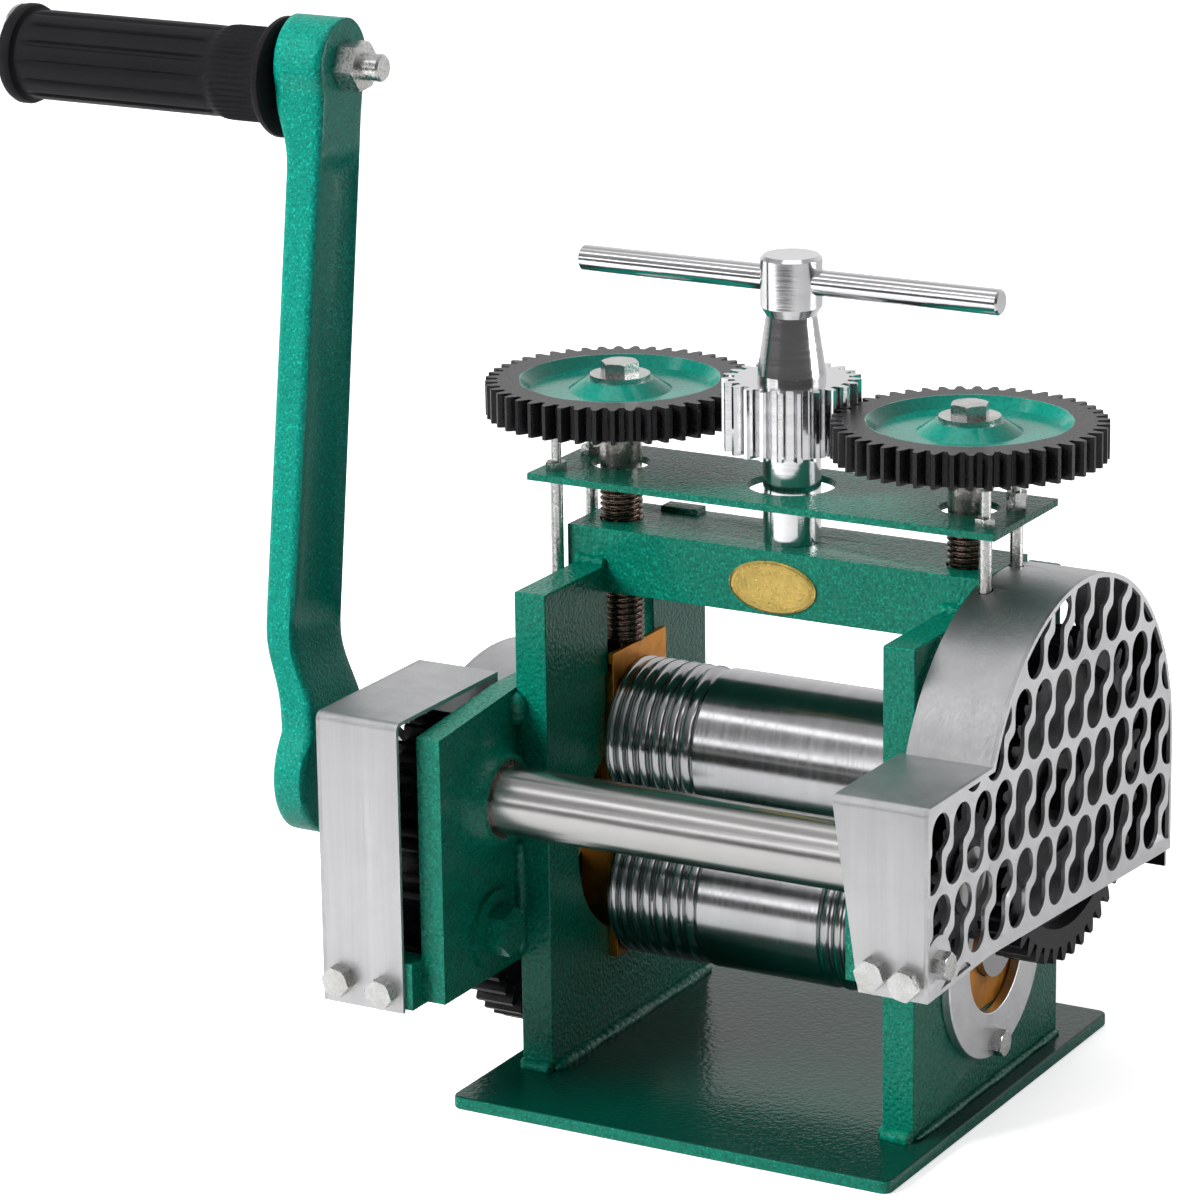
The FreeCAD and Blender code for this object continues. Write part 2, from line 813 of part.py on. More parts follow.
def slot_field(outline):
    heights = [z for y, z in outline]
    low_z = min(heights) - slot_pitch_z / 2
    high_z = max(heights) + slot_pitch_z / 2
    faces = []
    for row in range(-4, 5):
        for column in range(-9, 9):
            y = slot_start_y + column * slot_pitch_y + row * slot_row_shift
            z = slot_start_z + row * slot_pitch_z - slot_row_drop * (y - slot_start_y)
            if low_z < z < high_z and abs(y) < -cover_front:
                faces.append(slot_shape(y, z))
    return faces


def pierced(outline, window, x0, x1, solid_patches):
    sheet_face = face_of([(0, y, z) for y, z in outline])
    window_face = face_of([(0, y, z) for y, z in window])
    if solid_patches:
        window_face = window_face.cut(solid_patches)
    openings = []
    smallest = 0.2 * slot_lobe_radius ** 2
    for slot in slot_field(outline):
        trimmed = window_face.common(slot)
        openings += [face for face in trimmed.Faces if face.Area > smallest]
    sheet_face = sheet_face.cut(openings)
    plates = [face.extrude(Vec(x1 - x0, 0, 0)) for face in sheet_face.Faces]
    plate = max(plates, key=lambda solid: solid.Volume)
    plate.translate(Vec(x0, 0, 0))
    return plate


def disc_face(radius, y, z):
    ring = Part.Wire(Part.makeCircle(radius, Vec(0, y, z), Vec(1, 0, 0)))
    return Part.Face(ring)


def right_outline(inset):
    path = right_path(inset, right_side_back_z + inset)
    path.append((right_side_mid_y, right_side_mid_z + inset))
    path[0] = (path[0][0], right_cover_bottom + inset)
    return path


def right_cover_mesh():
    patch = disc_face(cover_bolt_flats, side_bolt_y, side_bolt_z)
    plate = pierced(
        right_outline(0), right_outline(side_rim),
        right_cover_outer - sheet, right_cover_outer, [patch],
    )
    hole = rod_x(side_bolt_radius, right_cover_outer - sheet, right_cover_outer, side_bolt_y, side_bolt_z)
    return plate.cut(hole)


def left_outline(inset):
    path = left_path(inset)
    path[0] = (path[0][0], left_cover_bottom + inset)
    path[-1] = (path[-1][0], left_cover_bottom + inset)
    return path


def left_cover_mesh():
    patch = disc_face(collar_radius + 2 * side_rim, shaft_y, shaft_z)
    plate = pierced(
        left_outline(0), left_outline(side_rim),
        left_cover_outer - sheet, left_cover_outer, [patch],
    )
    hole = rod_x(collar_radius, left_cover_outer - sheet, left_cover_outer, shaft_y, shaft_z)
    return mirrored(plate.cut(hole))


def left_cover_lug():
    lug_end = left_cover_outer - sheet
    lug = box(-lug_end, -bracket_outer, cover_front + sheet, lug_back, left_lug_bottom, left_lug_top)
    holes = [rod_y(cover_bolt_radius, cover_front + sheet, bolt_tip(), x, z) for x, z in left_bolts]
    return lug.cut(holes)


def right_cover_lug():
    lug_end = right_cover_outer - sheet
    lug = box(bracket_outer, lug_end, cover_front + sheet, lug_back, right_bracket_bottom, right_lug_top)
    holes = [rod_y(cover_bolt_radius, cover_front + sheet, bolt_tip(), x, z) for x, z in right_bolts]
    holes.append(rod_x(side_bolt_radius, lug_end - side_bolt_depth, lug_end, side_bolt_y, side_bolt_z))
    return lug.cut(holes)


def bolt_tip():
    return cover_front + cover_bolt_depth


def cover_bolt(x, z):
    head = hex_y(cover_bolt_flats, cover_front, cover_front - cover_bolt_head, x, z, 0.2)
    return joined(head, rod_y(cover_bolt_radius, cover_front, bolt_tip(), x, z))


def left_cover_bolts():
    return Part.makeCompound([cover_bolt(x, z) for x, z in left_bolts])


def right_cover_bolts():
    bolts = [cover_bolt(x, z) for x, z in right_bolts]
    face = right_cover_outer
    head = hex_x(cover_bolt_flats - 1, face, face + cover_bolt_head, side_bolt_y, side_bolt_z)
    shank_end = face - sheet - side_bolt_depth
    bolts.append(joined(head, rod_x(side_bolt_radius, shank_end, face, side_bolt_y, side_bolt_z)))
    return Part.makeCompound(bolts)


# Bearings and retainer rings
def bearing_block(side, bottom, top, axis_z):
    flange_outer = block_inner + block_flange_thick
    body = box(block_inner, block_outer, run_gap - slot_half, slot_half - run_gap, bottom, top)
    flange = box(block_inner, flange_outer, -block_flange_half, block_flange_half, bottom, top)
    block = joined(body, flange)
    bore = rod_x(journal_radius + run_gap, block_inner, block_outer, 0, axis_z)
    return block.cut(bore)


def lower_bearing(side):
    return on_side(side, bearing_block(side, slot_floor, lower_block_top, lower_axis_z))


def upper_bearing(side):
    block = bearing_block(side, upper_block_bottom, upper_block_top, upper_axis_z)
    neck_floor = upper_block_top - screw_neck_height
    foot_floor = neck_floor - screw_foot_thick - face_gap
    neck_half = screw_neck_radius + face_gap
    foot_half = screw_foot_radius + face_gap
    reach = block_flange_half
    neck = box(screw_x - neck_half, screw_x + neck_half, -reach, reach, neck_floor, upper_block_top)
    foot = box(screw_x - foot_half, screw_x + foot_half, -reach, reach, foot_floor, neck_floor)
    return on_side(side, block.cut([neck, foot]))


def retainer_ring(side):
    ring = rod_x(ring_radius, upright_outer, upright_outer + ring_thick, ring_y, ring_z)
    hole = rod_x(ring_hole, upright_outer, upright_outer + ring_thick, ring_y, ring_z)
    screw = rod_x(ring_screw_radius, upright_outer, upright_outer + ring_thick, ring_y, ring_screw_z)
    return on_side(side, ring.cut([hole, screw]))


def ring_screws():
    face = upright_outer + ring_thick
    head = hex_x(ring_screw_flats, face, face + ring_screw_head, ring_y, ring_screw_z)
    shank = rod_x(ring_screw_radius, upright_outer - ring_screw_depth, face, ring_y, ring_screw_z)
    screw = joined(head, shank)
    return Part.makeCompound([screw, mirrored(screw)])


# Rollers and their gears
def groove_edges(edges):
    arcs = []
    for start, end in zip(edges, edges[1:]):
        left = start + groove_land / 2
        right = end - groove_land / 2
        depth = (right - left) * groove_depth_ratio
        arcs.append((left, right, depth))
    return arcs


def roller(axis_z, grooves, gear_side):
    """One steel roller with its grooves, journals and gear seat, gear end towards +X."""
    top = roller_radius
    edges = []
    here = Vec(-roller_half, top, 0)
    for left, right, depth in sorted(grooves):
        start = Vec(left, top, 0)
        end = Vec(right, top, 0)
        edges.append(Part.makeLine(here, start))
        edges.append(Part.Arc(start, Vec((left + right) / 2, top - depth, 0), end).toShape())
        here = end
    plain_end = -journal_plain_end * gear_side
    shoulder = (gear_seat_inner - gear_hub_gap) * gear_side
    seat_end = gear_seat_outer * gear_side
    right_side = [(shoulder, journal_radius), (shoulder, gear_seat_radius), (seat_end, gear_seat_radius)]
    left_side = [(plain_end, journal_radius)]
    if gear_side < 0:
        left_side, right_side = right_side, left_side
    corners = [(roller_half, top), (roller_half, journal_radius)]
    corners += right_side
    corners.append((right_side[-1][0], 0))
    corners.append((left_side[-1][0], 0))
    corners += reversed(left_side)
    corners += [(-roller_half, journal_radius), (-roller_half, top)]
    for x, radius in corners:
        there = Vec(x, radius, 0)
        edges.append(Part.makeLine(here, there))
        here = there
    body = Part.Face(Part.Wire(edges)).revolve(Vec(0, 0, 0), Vec(1, 0, 0), 360)
    body.translate(Vec(0, 0, axis_z))
    bolt_hole_end = (gear_seat_outer - end_bolt_depth) * gear_side
    return body.cut(rod_x(end_bolt_radius, bolt_hole_end, seat_end, 0, axis_z))


def upper_roller():
    left = [edge - roller_half for edge in upper_grooves]
    return roller(upper_axis_z, groove_edges(left), 1)


def lower_roller():
    left = [edge - roller_half for edge in lower_left_grooves]
    right = [roller_half - edge for edge in reversed(lower_right_grooves)]
    return roller(lower_axis_z, groove_edges(left) + groove_edges(right), -1)


def roller_gear(side, phase, axis_z, hub_gap):
    blank = gear_x(roller_teeth, phase, side * gear_inner, side * gear_outer, 0, axis_z)
    dish = [
        (side * (gear_outer - gear_dish), gear_hub_radius),
        (side * gear_outer, gear_hub_radius - 1),
        (side * gear_outer, gear_rim_radius + 1),
        (side * (gear_outer - gear_dish), gear_rim_radius),
    ]
    blank = blank.cut(turned_x(dish, 0, axis_z))
    face_cut = rod_x(gear_hub_radius, side * gear_seat_outer, side * gear_outer, 0, axis_z)
    hub = rod_x(gear_hub_radius, side * gear_seat_inner, side * gear_inner, 0, axis_z)
    blank = joined(blank.cut(face_cut), hub)
    bore = rod_x(gear_seat_radius + hub_gap, side * gear_seat_inner, side * gear_outer, 0, axis_z)
    return blank.cut(bore)


def end_bolt(side, axis_z):
    start = side * gear_seat_outer
    middle = side * (gear_seat_outer + end_washer_thick)
    end = side * (gear_seat_outer + end_washer_thick + end_bolt_head)
    tip = side * (gear_seat_outer - end_bolt_depth)
    washer = rod_x(end_washer_radius, start, middle, 0, axis_z)
    washer = washer.cut(rod_x(end_bolt_radius, start, middle, 0, axis_z))
    head = hex_x(end_bolt_flats, middle, end, 0, axis_z)
    bolt = joined(head, rod_x(end_bolt_radius, tip, middle, 0, axis_z))
    return Part.makeCompound([washer, bolt])


# Idler on the left bracket
def idler_axle():
    nut_end = upright_outer - idler_washer_thick - idler_nut_height
    profile = [
        (-(nut_end + idler_cap_thick), 0),
        (-(nut_end + idler_cap_thick), idler_bolt_radius),
        (-bracket_outer, idler_bolt_radius),
        (-bracket_outer, idler_collar_radius),
        (-(gear_inner - face_gap), idler_collar_radius),
        (-(gear_inner - face_gap), idler_axle_radius),
        (-(gear_outer + face_gap + clip_thick + idler_end_proud), idler_axle_radius),
        (-(gear_outer + face_gap + clip_thick + idler_end_proud), 0),
    ]
    return turned_x(profile, idler_y, idler_z)


def idler_fasteners():
    inner = -upright_outer
    nut_start = inner + idler_washer_thick
    nut_end = nut_start + idler_nut_height
    washer = rod_x(idler_washer_radius, inner, nut_start, idler_y, idler_z)
    washer = washer.cut(rod_x(idler_bolt_radius, inner, nut_start, idler_y, idler_z))
    nut = hex_x(idler_nut_flats, nut_start, nut_end, idler_y, idler_z)
    nut = nut.cut(rod_x(idler_bolt_radius, nut_start, nut_end - idler_cap_thick, idler_y, idler_z))
    clip_start = -(gear_outer + face_gap)
    clip = rod_x(idler_clip_radius, clip_start, clip_start - clip_thick, idler_y, idler_z)
    clip = clip.cut(rod_x(idler_axle_radius, clip_start, clip_start - clip_thick, idler_y, idler_z))
    return Part.makeCompound([washer, nut, clip])


def idler_gear():
    gear = gear_x(idler_teeth, idler_phase, -gear_inner, -gear_outer, idler_y, idler_z)
    return gear.cut(rod_x(idler_axle_radius + run_gap, -gear_inner, -gear_outer, idler_y, idler_z))


# Front shaft and its pinions
def front_shaft():
    clip_inner = pinion_outer
    clip_outer = clip_inner + clip_thick
    profile = [
        (crank_shaft_end, 0),
        (crank_shaft_end, crank_seat_radius),
        (crank_boss_inner, crank_seat_radius),
        (crank_boss_inner, pinion_seat_radius),
        (-clip_outer, pinion_seat_radius),
        (-clip_outer, clip_groove_radius),
        (-clip_inner, clip_groove_radius),
        (-clip_inner, pinion_seat_radius),
        (-shaft_shoulder, pinion_seat_radius),
        (-shaft_shoulder, shaft_radius),
        (shaft_shoulder, shaft_radius),
        (shaft_shoulder, pinion_seat_radius),
        (clip_inner, pinion_seat_radius),
        (clip_inner, clip_groove_radius),
        (clip_outer, clip_groove_radius),
        (clip_outer, pinion_seat_radius),
        (shaft_right_end, pinion_seat_radius),
        (shaft_right_end, 0),
    ]
    shaft = turned_x(profile, shaft_y, shaft_z)
    bolt_end = crank_shaft_end + crank_bolt_depth
    return shaft.cut(rod_x(crank_bolt_radius, crank_shaft_end, bolt_end, shaft_y, shaft_z))


def pinion(side):
    gear = gear_x(pinion_teeth, shaft_phase, side * shaft_shoulder, side * pinion_outer, shaft_y, shaft_z)
    return gear.cut(rod_x(pinion_seat_radius, side * shaft_shoulder, side * pinion_outer, shaft_y, shaft_z))


def shaft_collars():
    collars = []
    for side in (-1, 1):
        start = side * (bracket_outer + face_gap)
        end = side * shaft_shoulder
        collar = rod_x(collar_radius, start, end, shaft_y, shaft_z)
        collars.append(collar.cut(rod_x(shaft_radius, start, end, shaft_y, shaft_z)))
    return Part.makeCompound(collars)


def shaft_clips():
    clips = []
    for side in (-1, 1):
        start = side * pinion_outer
        end = side * (pinion_outer + clip_thick)
        clip = rod_x(clip_radius, start, end, shaft_y, shaft_z)
        clips.append(clip.cut(rod_x(clip_groove_radius, start, end, shaft_y, shaft_z)))
    return Part.makeCompound(clips)


# Crank and grip, drawn upright on the shaft axis and then leaned back
def leaned(shape):
    shape.rotate(Vec(0, 0, 0), Vec(1, 0, 0), -math.degrees(crank_lean))
    shape.translate(Vec(0, shaft_y, shaft_z))
    return shape


def crank_arm():
    side_view = [
        (crank_boss_inner, 0, -crank_boss_radius),
        (crank_boss_inner, 0, arm_jog_start),
        (arm_inner, 0, arm_jog_end),
        (arm_top_inner, 0, crank_length - arm_top_radius),
        (arm_top_inner, 0, crank_length + arm_top_radius),
        (arm_top_outer, 0, crank_length + arm_top_radius),
        (arm_top_outer, 0, crank_length - arm_top_radius),
        (arm_outer, 0, crank_length - 1.8 * arm_top_radius),
        (arm_outer, 0, arm_jog_end),
        (crank_boss_outer, 0, arm_jog_start),
        (crank_boss_outer, 0, -crank_boss_radius),
    ]
    side_solid = face_of(side_view).extrude(Vec(0, 4 * crank_boss_radius, 0))
    side_solid.translate(Vec(0, -2 * crank_boss_radius, 0))
    flank = [
        (-arm_low_half, 0),
        (arm_low_half, 0),
        (arm_low_half, arm_jog_end),
        (arm_high_half, crank_length),
        (-arm_high_half, crank_length),
        (-arm_low_half, arm_jog_end),
    ]
    bar = plate_x(flank, crank_boss_inner, arm_top_outer)
    lower = rod_x(crank_boss_radius, crank_boss_inner, arm_top_outer, 0, 0)
    upper = rod_x(arm_top_radius, crank_boss_inner, arm_top_outer, 0, crank_length)
    arm = joined(bar, lower, upper).common(side_solid)
    channel = box(arm_top_inner, arm_inner - channel_depth, -channel_half, channel_half, channel_start, channel_end)
    ends = [
        rod_x(channel_half, arm_top_inner, arm_inner - channel_depth, 0, channel_start),
        rod_x(channel_half, arm_top_inner, arm_inner - channel_depth, 0, channel_end),
    ]
    arm = arm.cut(joined(channel, *ends))
    arm = arm.cut(rod_x(crank_seat_radius, crank_boss_inner, crank_boss_outer, 0, 0))
    arm = arm.cut(rod_x(crank_washer_radius + face_gap, crank_shaft_end, crank_boss_outer, 0, 0))
    arm = arm.cut(rod_x(spindle_radius, arm_top_inner, arm_top_outer, 0, crank_length))
    return leaned(arm)


def crank_bolt():
    start = crank_shaft_end
    middle = start - crank_washer_thick
    end = middle - crank_bolt_head
    tip = start + crank_bolt_depth
    washer = rod_x(crank_washer_radius, start, middle, shaft_y, shaft_z)
    washer = washer.cut(rod_x(crank_bolt_radius, start, middle, shaft_y, shaft_z))
    head = hex_x(crank_bolt_flats, middle, end, shaft_y, shaft_z)
    bolt = joined(head, rod_x(crank_bolt_radius, tip, middle, shaft_y, shaft_z))
    return Part.makeCompound([washer, bolt])


def grip_spindle():
    head_start = grip_outer_end - face_gap
    head_end = head_start - spindle_head_thick
    collar_end = arm_top_outer - spindle_collar_thick
    profile = [
        (spindle_end, 0),
        (spindle_end, spindle_radius - 0.6),
        (spindle_end - 0.6, spindle_radius),
        (arm_top_outer, spindle_radius),
        (arm_top_outer, spindle_collar_radius),
        (collar_end, spindle_collar_radius),
        (collar_end, spindle_radius),
        (head_start, spindle_radius),
        (head_start, spindle_head_radius),
        (head_end + 1, spindle_head_radius),
        (head_end, spindle_head_radius - 2),
        (head_end, 0),
    ]
    return turned_x(profile, grip_y, spindle_z)


def grip_nut():
    end = arm_top_inner + grip_nut_height
    nut = hex_x(grip_nut_flats, arm_top_inner, end, grip_y, spindle_z, 0.1)
    return nut.cut(rod_x(spindle_radius, arm_top_inner, end, grip_y, spindle_z))


def grip():
    inner = grip_inner_end
    outer = grip_outer_end
    bore = spindle_radius + grip_drop + face_gap
    flange_end = inner - grip_flange_thick
    collar_end = flange_end - grip_collar_length
    tail = outer + grip_end_thick
    profile = [
        (inner, bore),
        (inner, grip_flange_radius - 0.8),
        (inner - 0.8, grip_flange_radius),
        (flange_end + 0.8, grip_flange_radius),
        (flange_end, grip_flange_radius - 0.8),
        (flange_end - 1, grip_collar_radius),
        (collar_end, grip_collar_radius),
        (collar_end - 1, grip_body_radius),
        (tail, grip_body_radius),
        (tail - 1, grip_end_radius),
        (outer + 1, grip_end_radius),
        (outer, grip_end_radius - 1),
        (outer, bore),
    ]
    body = turned_x(profile, grip_y, grip_z)
    flutes = []
    for index in range(grip_flutes):
        angle = 2 * math.pi * index / grip_flutes
        reach = grip_body_radius + grip_flute_radius * 0.45
        y = grip_y + reach * math.cos(angle)
        z = grip_z + reach * math.sin(angle)
        flutes.append(rod_x(grip_flute_radius, collar_end - 2, tail + 2, y, z))
    return body.cut(flutes)


# Height adjustment
def jack_screw(side):
    neck_bottom = upper_block_top - screw_neck_height
    foot_bottom = neck_bottom - screw_foot_thick
    start = upper_block_top + run_gap
    profile = [
        (0, foot_bottom),
        (screw_foot_radius, foot_bottom),
        (screw_foot_radius, neck_bottom - run_gap),
        (screw_neck_radius, neck_bottom - run_gap),
        (screw_neck_radius, start),
        (screw_core_radius, start),
    ]
    turns = int((screw_thread_top - start) / screw_pitch)
    for index in range(turns):
        low = start + index * screw_pitch
        profile.append((screw_core_radius, low + 0.1 * screw_pitch))
        profile.append((screw_radius, low + 0.45 * screw_pitch))
        profile.append((screw_radius, low + 0.65 * screw_pitch))
        profile.append((screw_core_radius, low + 1.0 * screw_pitch))
    plain_start = start + turns * screw_pitch
    profile += [
        (screw_plain_radius, plain_start + 0.3 * screw_pitch),
        (screw_plain_radius, jack_gear_bottom),
        (screw_spigot_radius, jack_gear_bottom),
        (screw_spigot_radius, jack_gear_top),
        (0, jack_gear_top),
    ]
    screw = turned_z(profile, screw_x, 0)
    hole = rod_z(jack_bolt_radius, jack_gear_top - jack_bolt_depth, jack_gear_top, screw_x, 0)
    return on_side(side, screw.cut(hole))


def jack_dish_cut(x, face, floor):
    profile = [
        (jack_hub_radius, face),
        (jack_web_radius, face),
        (jack_web_radius - jack_slope / 2, floor),
        (jack_hub_radius + jack_slope, floor),
    ]
    return turned_z(profile, x, 0)


def jack_gear(side):
    x = side * screw_x
    phase = right_jack_phase if side > 0 else left_jack_phase
    gear = gear_z(jack_teeth, phase, jack_gear_bottom, jack_gear_top, x, 0)
    top_dish = jack_dish_cut(x, jack_gear_top, jack_gear_top - jack_dish)
    bottom_dish = jack_dish_cut(x, jack_gear_bottom, jack_gear_bottom + jack_dish)
    bore = rod_z(screw_spigot_radius, jack_gear_bottom, jack_gear_top, x, 0)
    return gear.cut([top_dish, bottom_dish, bore])


def gear_bolt(side):
    washer_top = jack_gear_top + jack_washer_thick
    head_top = washer_top + jack_bolt_head
    washer = rod_z(jack_washer_radius, jack_gear_top, washer_top, screw_x, 0)
    washer = washer.cut(rod_z(jack_bolt_radius, jack_gear_top, washer_top, screw_x, 0))
    head = hex_z(jack_bolt_flats, washer_top, head_top, screw_x, 0)
    bolt = joined(head, rod_z(jack_bolt_radius, jack_gear_top - jack_bolt_depth, washer_top, screw_x, 0))
    pair = Part.makeCompound([washer, bolt])
    return on_side(side, pair)


def centre_pinion():
    gear = gear_z(centre_teeth, centre_phase, centre_pinion_bottom, centre_pinion_top, 0, 0)
    return gear.cut(rod_z(tee_shaft_radius, centre_pinion_bottom, centre_pinion_top, 0, 0))


def tee_shaft():
    shoulder = bar_top + run_gap
    profile = [
        (0, bar_top - tee_spigot_length),
        (tee_spigot_radius, bar_top - tee_spigot_length),
        (tee_spigot_radius, shoulder),
        (tee_shaft_radius, shoulder),
        (tee_shaft_radius, centre_pinion_top),
        (tee_neck_base, centre_pinion_top),
        (tee_neck_base, centre_pinion_top + 1.5),
        (tee_neck_top, tee_neck_end),
        (tee_hub_radius, tee_hub_bottom),
        (tee_hub_radius, tee_hub_top - 1),
        (tee_hub_radius - 1, tee_hub_top),
        (0, tee_hub_top),
    ]
    hub = turned_z(profile, 0, 0)
    return hub.cut(rod_x(tee_bar_radius, -2 * tee_hub_radius, 2 * tee_hub_radius, 0, tee_bar_z))


def tee_bar():
    profile = [
        (tee_bar_left, 0),
        (tee_bar_left, tee_bar_radius - tee_bar_chamfer),
        (tee_bar_left + tee_bar_chamfer, tee_bar_radius),
        (tee_bar_right - tee_bar_chamfer, tee_bar_radius),
        (tee_bar_right, tee_bar_radius - tee_bar_chamfer),
        (tee_bar_right, 0),
    ]
    return turned_x(profile, 0, tee_bar_z)


# Every node with its shape
def all_nodes():
    nodes = {
        "base_plate": base_plate(),
        "left_upright": upright(-1),
        "right_upright": upright(1),
        "crossbar": crossbar(),
        "frame_welds": frame_welds(),
        "badge": badge(),
        "top_plate": top_plate(),
        "plate_studs": plate_studs(),
        "plate_nuts": plate_nuts(),
        "left_bracket": bracket(-1),
        "right_bracket": bracket(1),
        "left_shaft_bush": shaft_bush(-1),
        "right_shaft_bush": shaft_bush(1),
        "left_cover": left_cover(),
        "right_cover": right_cover(),
        "left_cover_mesh": left_cover_mesh(),
        "right_cover_mesh": right_cover_mesh(),
        "left_cover_lug": left_cover_lug(),
        "right_cover_lug": right_cover_lug(),
        "left_cover_bolts": left_cover_bolts(),
        "right_cover_bolts": right_cover_bolts(),
        "left_lower_bearing": lower_bearing(-1),
        "right_lower_bearing": lower_bearing(1),
        "left_retainer_ring": retainer_ring(-1),
        "right_retainer_ring": retainer_ring(1),
        "ring_screws": ring_screws(),
        "idler_axle": idler_axle(),
        "idler_fasteners": idler_fasteners(),
        "idler_gear": idler_gear(),
        "left_upper_bearing": upper_bearing(-1),
        "right_upper_bearing": upper_bearing(1),
        "upper_roller": upper_roller(),
        "upper_roller_gear": roller_gear(1, upper_phase, upper_axis_z, gear_hub_gap),
        "upper_roller_bolt": end_bolt(1, upper_axis_z),
        "lower_roller": lower_roller(),
        "lower_roller_gear": roller_gear(-1, lower_phase, lower_axis_z, 0),
        "lower_roller_bolt": end_bolt(-1, lower_axis_z),
        "front_shaft": front_shaft(),
        "left_pinion": pinion(-1),
        "right_pinion": pinion(1),
        "shaft_collars": shaft_collars(),
        "shaft_clips": shaft_clips(),
        "crank_arm": crank_arm(),
        "crank_bolt": crank_bolt(),
        "grip_spindle": grip_spindle(),
        "grip_nut": grip_nut(),
        "grip": grip(),
        "left_jack_screw": jack_screw(-1),
        "right_jack_screw": jack_screw(1),
        "left_jack_gear": jack_gear(-1),
        "right_jack_gear": jack_gear(1),
        "left_gear_bolt": gear_bolt(-1),
        "right_gear_bolt": gear_bolt(1),
        "centre_pinion": centre_pinion(),
        "tee_shaft": tee_shaft(),
        "tee_bar": tee_bar(),
    }
    return nodes


os.makedirs("parts", exist_ok=True)
for name, shape in all_nodes().items():
    shape.exportStep("parts/" + name + ".step")
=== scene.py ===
import json
import math

import bmesh
import bpy
import numpy as np
from mathutils import Matrix, Vector

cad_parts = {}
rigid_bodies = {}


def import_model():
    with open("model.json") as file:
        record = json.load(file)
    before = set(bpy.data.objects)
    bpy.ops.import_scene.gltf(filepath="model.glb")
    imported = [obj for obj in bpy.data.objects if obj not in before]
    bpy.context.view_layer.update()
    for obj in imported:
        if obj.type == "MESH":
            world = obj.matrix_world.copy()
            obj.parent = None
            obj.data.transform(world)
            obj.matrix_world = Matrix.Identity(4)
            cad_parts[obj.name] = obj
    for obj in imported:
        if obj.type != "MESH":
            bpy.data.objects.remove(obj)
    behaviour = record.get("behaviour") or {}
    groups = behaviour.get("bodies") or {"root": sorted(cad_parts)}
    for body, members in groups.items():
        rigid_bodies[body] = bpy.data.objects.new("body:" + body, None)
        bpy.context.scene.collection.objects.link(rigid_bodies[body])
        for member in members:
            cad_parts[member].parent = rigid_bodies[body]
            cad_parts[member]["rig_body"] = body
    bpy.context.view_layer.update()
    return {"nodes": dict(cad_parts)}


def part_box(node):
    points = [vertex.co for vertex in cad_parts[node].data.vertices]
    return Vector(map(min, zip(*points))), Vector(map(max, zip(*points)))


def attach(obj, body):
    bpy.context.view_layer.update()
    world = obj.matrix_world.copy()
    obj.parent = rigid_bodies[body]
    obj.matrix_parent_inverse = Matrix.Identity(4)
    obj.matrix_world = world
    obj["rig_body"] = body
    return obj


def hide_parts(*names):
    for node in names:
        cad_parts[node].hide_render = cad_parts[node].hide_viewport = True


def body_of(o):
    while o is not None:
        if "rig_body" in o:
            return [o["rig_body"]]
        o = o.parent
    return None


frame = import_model()

bl_info = {
    "name": "Rolling mill dresser",
    "version": (1, 0, 0),
    "blender": (4, 5, 0),
    "location": "View3D > Sidebar > Mill",
    "description": "Dresses the packed rolling mill with its cast, turned, sheet and painted surfaces",
    "category": "Object",
}

MM = 0.001
SHAFT_Y, SHAFT_Z = (sum(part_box("front_shaft")[i][a] for i in (0, 1)) / 2 for a in (1, 2))
SPINDLE_Y, SPINDLE_Z = (sum(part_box("grip_spindle")[i][a] for i in (0, 1)) / 2 for a in (1, 2))
GRIP_Y, GRIP_Z = (sum(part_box("grip")[i][a] for i in (0, 1)) / 2 for a in (1, 2))
JACK_X = 56.0               # mm, from the middle to each jack screw
WEB_RADIUS = 29.3           # mm, edge of the green web of an adjusting gear
BARE_ABOVE = 0.1745         # m, height above which a jack screw's finish is bare
SAME_POINT = 1e-7           # m, points of a new piece nearer than this are one
CAD_POINT = 2e-6            # m, the same for the loose triangles of a CAD node
CRANK_CORNER = 9            # power of the crank's squared section
CHANNEL_DEPTH = 4.6         # mm, of the round channel in the crank arm
CHANNEL_RIM = 1.4           # mm, left standing on each side of it
LOW_BOSS, TOP_BOSS = 18.45, 13.45           # mm, radii of the crank's ends
GRIP_BORE, GRIP_COLLAR, GRIP_BODY = 9.1, 13.5, 12.9     # mm, radii of the grip
THREAD_FOOT, THREAD_TOP = 122.75, 171.0     # mm, heights where a jack screw's thread starts and ends
SENSOR = 36.0                               # mm, width of the camera's sensor
PHOTO_WIDTH, FOCAL_LENGTH = 1178, 5158.3    # photo pixels
CAMERA_ANGLES = (29.685, 16.382, -0.888)    # degrees: round, up and roll, fitted to the photo
CAMERA_TARGET = (-67.5, 0, 132.65)          # mm
CAMERA_DISTANCE = 1.5209                    # m
LAMP_TARGET = (0, 0, 0.12)                  # m
# Each lamp: name, place and size in metres, power in watts, and whether matt and glossy surfaces see it
LAMPS = (
    ("key", (-1.3, -1.5, 1.3), 1.1, 80, True, False),
    ("key_gloss", (-1.3, -1.5, 1.3), 1.7, 21, False, True),
    ("right_gloss", (1.3, 0.6, 0.2), 0.6, 11, False, True),
    ("top", (-0.1, 0.1, 1.9), 1.3, 6, True, True),
)


